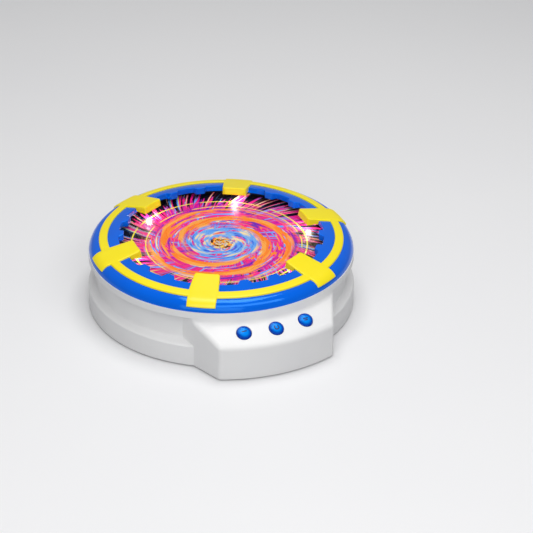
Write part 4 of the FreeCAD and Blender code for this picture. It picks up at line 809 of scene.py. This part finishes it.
def build_light_ring():
    rows = arm_points()
    width = len(rows[0])
    points = []
    faces = []
    for number in range(ARM_COUNT):
        turn = math.radians(ARM_PITCH * number)
        start = len(points)
        for row in rows:
            for out, side, height in row:
                points.append((
                    out * math.cos(turn) - side * math.sin(turn),
                    out * math.sin(turn) + side * math.cos(turn),
                    height + 0.03,
                ))
        faces += grid_faces(len(rows), width, start)
        faces.append(tuple(start + k for k in range(width)))
        last = start + (len(rows) - 1) * width
        faces.append(tuple(last + k for k in reversed(range(width))))
    section = [(RING_INNER, rim_crown(RING_INNER) - 0.2)]
    for step in range(6):
        turn = math.radians(90 * step / 5)
        radius = RING_INNER + BAND_ROLL * (1 - math.cos(turn))
        section.append((radius, ring_surface(radius)[1] - BAND_ROLL * (1 - math.sin(turn))))
    for radius in (113.5, 115.5, 117.5):
        section.append((radius, ring_surface(radius)[1]))
    for step in range(6):
        turn = math.radians(90 * (5 - step) / 5)
        radius = RING_OUTER - BAND_ROLL * (1 - math.cos(turn))
        section.append((radius, ring_surface(radius)[1] - BAND_ROLL * (1 - math.sin(turn))))
    section.append((RING_OUTER, rim_crown(RING_OUTER) - 0.2))
    columns = 360
    start = len(points)
    for radius, height in section:
        for column in range(columns):
            turn = math.radians(column * 360 / columns)
            points.append((radius * math.cos(turn), radius * math.sin(turn), height))
    faces += grid_faces(len(section), columns, start, loop=True)
    ring = make_piece("light_ring_shell", points, faces, YELLOW, 50.0)
    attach(ring, "housing")
    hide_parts("light_ring")


# Card with its painting

def build_card():
    section = [(0.0, CARD_LOW), (CARD_RADIUS - 0.1, CARD_LOW), (CARD_RADIUS, CARD_LOW + 0.1),
               (CARD_RADIUS, CARD_TOP - 0.12), (CARD_RADIUS - 0.12, CARD_TOP)]
    section += [(radius, CARD_TOP) for radius in (96.0, 72.0, 48.0, 24.0)]
    columns = 180
    points = [(0.0, 0.0, CARD_LOW - CARD_TOP), (0.0, 0.0, 0.0)]
    rows = section[1:]
    for radius, height in rows:
        for column in range(columns):
            turn = math.radians(column * 360 / columns)
            points.append((radius * math.cos(turn), radius * math.sin(turn), height - CARD_TOP))
    faces = grid_faces(len(rows), columns, 2)
    last = 2 + (len(rows) - 1) * columns
    for column in range(columns):
        beside = (column + 1) % columns
        faces.append((0, 2 + beside, 2 + column))
        faces.append((1, last + column, last + beside))
    card = make_piece("art_card_painted", points, faces, CARD, 40.0,
                      Matrix.Translation((0.0, 0.0, CARD_TOP)))
    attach(card, "turntable")
    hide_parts("art_card")


# Buttons: a rounded cap with a crown and a hollow foot, and a small plain mark that stands on it

def crown_height(radius):
    """Height of a cap's top above its side's end: a shallow dome."""
    dome = (BUTTON_RADIUS ** 2 + CROWN_RISE ** 2) / (2 * CROWN_RISE)
    return CROWN_EDGE + CROWN_RISE - dome + math.sqrt(dome * dome - radius * radius)


def button_section(sink):
    """Section of a cap from its hollow foot to its crown, which lies lower by sink on a side button."""
    section = [
        (HOLLOW_RADIUS, HOLLOW_TOP),
        (HOLLOW_RADIUS, FLANGE_FOOT),
        (FLANGE_RADIUS, FLANGE_FOOT),
        (FLANGE_RADIUS, FLANGE_TOP),
        (BUTTON_RADIUS, FLANGE_TOP),
        (BUTTON_RADIUS, -sink),
    ]
    top = crown_height(BUTTON_RADIUS - CAP_ROLL) - sink
    for step in range(7):
        turn = math.radians(90 * step / 6)
        section.append((BUTTON_RADIUS - CAP_ROLL * (1 - math.cos(turn)),
                        top - CAP_ROLL * (1 - math.sin(turn))))
    for radius in (5.2, 4.0, 2.8, 1.6, 0.7):
        section.append((radius, crown_height(radius) - sink))
    return section


def slope_place(side):
    """A button's own frame on the slope, in millimetres about the axis, and how far its crown lies
    below the slope's middle line."""
    across = BUTTON_RING * math.sin(BUTTON_TURN) * side
    back = BUTTON_RING * (1 - math.cos(BUTTON_TURN)) * abs(side)
    up = back * math.cos(CONSOLE_SLOPE)
    along_y = up * math.cos(CONSOLE_SLOPE) - BUTTON_RING
    along_z = up * math.sin(CONSOLE_SLOPE) + BUTTON_HEIGHT
    tilt = Matrix.Rotation(CONSOLE_SLOPE, 4, "X")
    return Matrix.Translation((across, along_y, along_z)) @ tilt, back * math.sin(CONSOLE_SLOPE)


def strip(path, sink):
    """A closed low strip along a path on the cap's crown, with sloping sides."""
    low = 0.3
    points = []
    count = len(path)
    for index, (across, up) in enumerate(path):
        before = Vector(path[max(0, index - 1)])
        after = Vector(path[min(count - 1, index + 1)])
        along = (after - before).normalized()
        side = Vector((-along.y, along.x))
        for share, height in ((-1.0, -low), (-1.0, MARK_LIFT * 0.4), (-0.6, MARK_LIFT),
                              (0.6, MARK_LIFT), (1.0, MARK_LIFT * 0.4), (1.0, -low)):
            place = Vector((across, up)) + side * MARK_HALF * share
            points.append((place.x, place.y, crown_height(place.length) + height - sink))
    faces = grid_faces(count, 6)
    faces.append(tuple(range(6)))
    faces.append(tuple(reversed(range((count - 1) * 6, count * 6))))
    return points, faces


def mark_paths(side):
    """Plain marks: a short bar, an open ring and a pair of bars."""
    if side < 0:
        return [[(-2.6 + 0.65 * k, 0.7) for k in range(9)]]
    if side == 0:
        ring = []
        for k in range(21):
            turn = math.radians(120 + 300 * k / 20)
            ring.append((2.1 * math.cos(turn), 2.1 * math.sin(turn) + 0.2))
        return [ring]
    return [[(-2.5 + 0.62 * k, 1.1) for k in range(9)], [(-1.7 + 0.57 * k, -0.7) for k in range(7)]]


def build_button(name, side):
    place, sink = slope_place(side)
    columns = 64
    section = button_section(sink)
    points = []
    for radius, height in section:
        for column in range(columns):
            turn = math.radians(column * 360 / columns)
            points.append((radius * math.cos(turn), radius * math.sin(turn), height))
    points.append((0.0, 0.0, crown_height(0.0) - sink))
    points.append((0.0, 0.0, section[0][1]))
    faces = grid_faces(len(section), columns)
    top = len(section) * columns
    last = top - columns
    for column in range(columns):
        beside = (column + 1) % columns
        faces.append((last + column, last + beside, top))
        faces.append((beside, column, top + 1))
    cap = make_piece(f"button_cap_{name}", points, faces, BUTTON, 45.0, place)
    body = f"{name}_button"
    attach(cap, body)
    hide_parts(f"button_{name}")
    for number, path in enumerate(mark_paths(side)):
        mark_points, mark_faces = strip(path, sink)
        mark = make_piece(f"button_mark_{name}_{number + 1}", mark_points, mark_faces, BUTTON_MARK,
                          45.0, place)
        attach(mark, body)


build_rim()
build_light_ring()
build_card()
for button_name, button_side in (("left", -1), ("centre", 0), ("right", 1)):
    build_button(button_name, button_side)


# Floor, lights, world and camera

def build_floor():
    """A pale floor that keeps the shadow; light that bounces off it sees a duller floor."""
    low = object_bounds()[0].z
    made, tree, shader = new_material("studio_floor")
    place = object_place(tree)
    shade = noise(tree, place, 3.0, 3.0, 0.5)
    path = add(tree, "ShaderNodeLightPath")
    seen = math_node(tree, "MAXIMUM", path.outputs["Is Camera Ray"], path.outputs["Is Transmission Ray"])
    seen = math_node(tree, "MAXIMUM", seen, path.outputs["Is Glossy Ray"])
    dull = blend(tree, shade, colour(172, 173, 176), colour(168, 169, 172))
    pale = blend(tree, shade, colour(243, 243, 244), colour(239, 239, 241))
    feed(tree, shader.inputs["Base Color"], blend(tree, seen, dull, pale))
    shader.inputs["Roughness"].default_value = 0.6
    shader.inputs["Specular IOR Level"].default_value = 0.2
    size = 9.0
    mesh = bpy.data.meshes.new("floor")
    corners = [(-size, -size, 0), (size, -size, 0), (size, size, 0), (-size, size, 0)]
    mesh.from_pydata(corners, [], [(0, 1, 2, 3)])
    mesh.materials.append(made)
    floor = bpy.data.objects.new("floor", mesh)
    floor.location = (0, 0, low)
    bpy.context.scene.collection.objects.link(floor)


def build_world():
    world = bpy.data.worlds.new("studio")
    bpy.context.scene.world = world
    world.use_nodes = True
    tree = world.node_tree
    clear_tree(tree)
    out = add(tree, "ShaderNodeOutputWorld")
    fill = add(tree, "ShaderNodeBackground")
    fill.inputs["Color"].default_value = (1.0, 1.0, 1.0, 1.0)
    fill.inputs["Strength"].default_value = 0.28
    feed(tree, out.inputs["Surface"], fill.outputs[0])


def area_light(name, place, aim, size, power):
    data = bpy.data.lights.new(name, "AREA")
    data.shape = "RECTANGLE"
    data.size = size[0]
    data.size_y = size[1]
    data.energy = power
    made = bpy.data.objects.new(name, data)
    made.location = place
    made.rotation_mode = "QUATERNION"
    made.rotation_quaternion = (Vector(aim) - Vector(place)).to_track_quat("-Z", "Y")
    bpy.context.scene.collection.objects.link(made)
    return made


def build_camera():
    """The photograph's view, fitted to the rim, the arms, the console and the skirt."""
    data = bpy.data.cameras.new("photo_camera")
    data.sensor_width = 36.0
    data.lens = 135.36
    data.clip_start = 0.05
    data.clip_end = 50.0
    made = bpy.data.objects.new("photo_camera", data)
    right = Vector((0.923535, -0.383397, 0.00944))
    up = Vector((0.182223, 0.460334, 0.868843))
    back = Vector((-0.337457, -0.800687, 0.494998))
    turn = Matrix((right, up, back)).transposed().to_4x4()
    made.matrix_world = Matrix.Translation((-0.62765, -1.593, 1.01673)) @ turn
    bpy.context.scene.collection.objects.link(made)
    bpy.context.scene.camera = made


build_floor()
build_world()
area_light("top_softbox", (0.1, 0.14, 1.5), (0.0, 0.0, 0.06), (0.85, 0.75), 9.5)
area_light("front_softbox", (-0.12, -1.05, 1.3), (0.0, 0.0, 0.05), (2.0, 0.5), 9.6)
area_light("front_fill", (-0.85, -1.5, 0.75), (0.0, 0.0, 0.05), (1.6, 0.9), 8.0)
build_camera()
bpy.context.scene.view_settings.view_transform = "Standard"
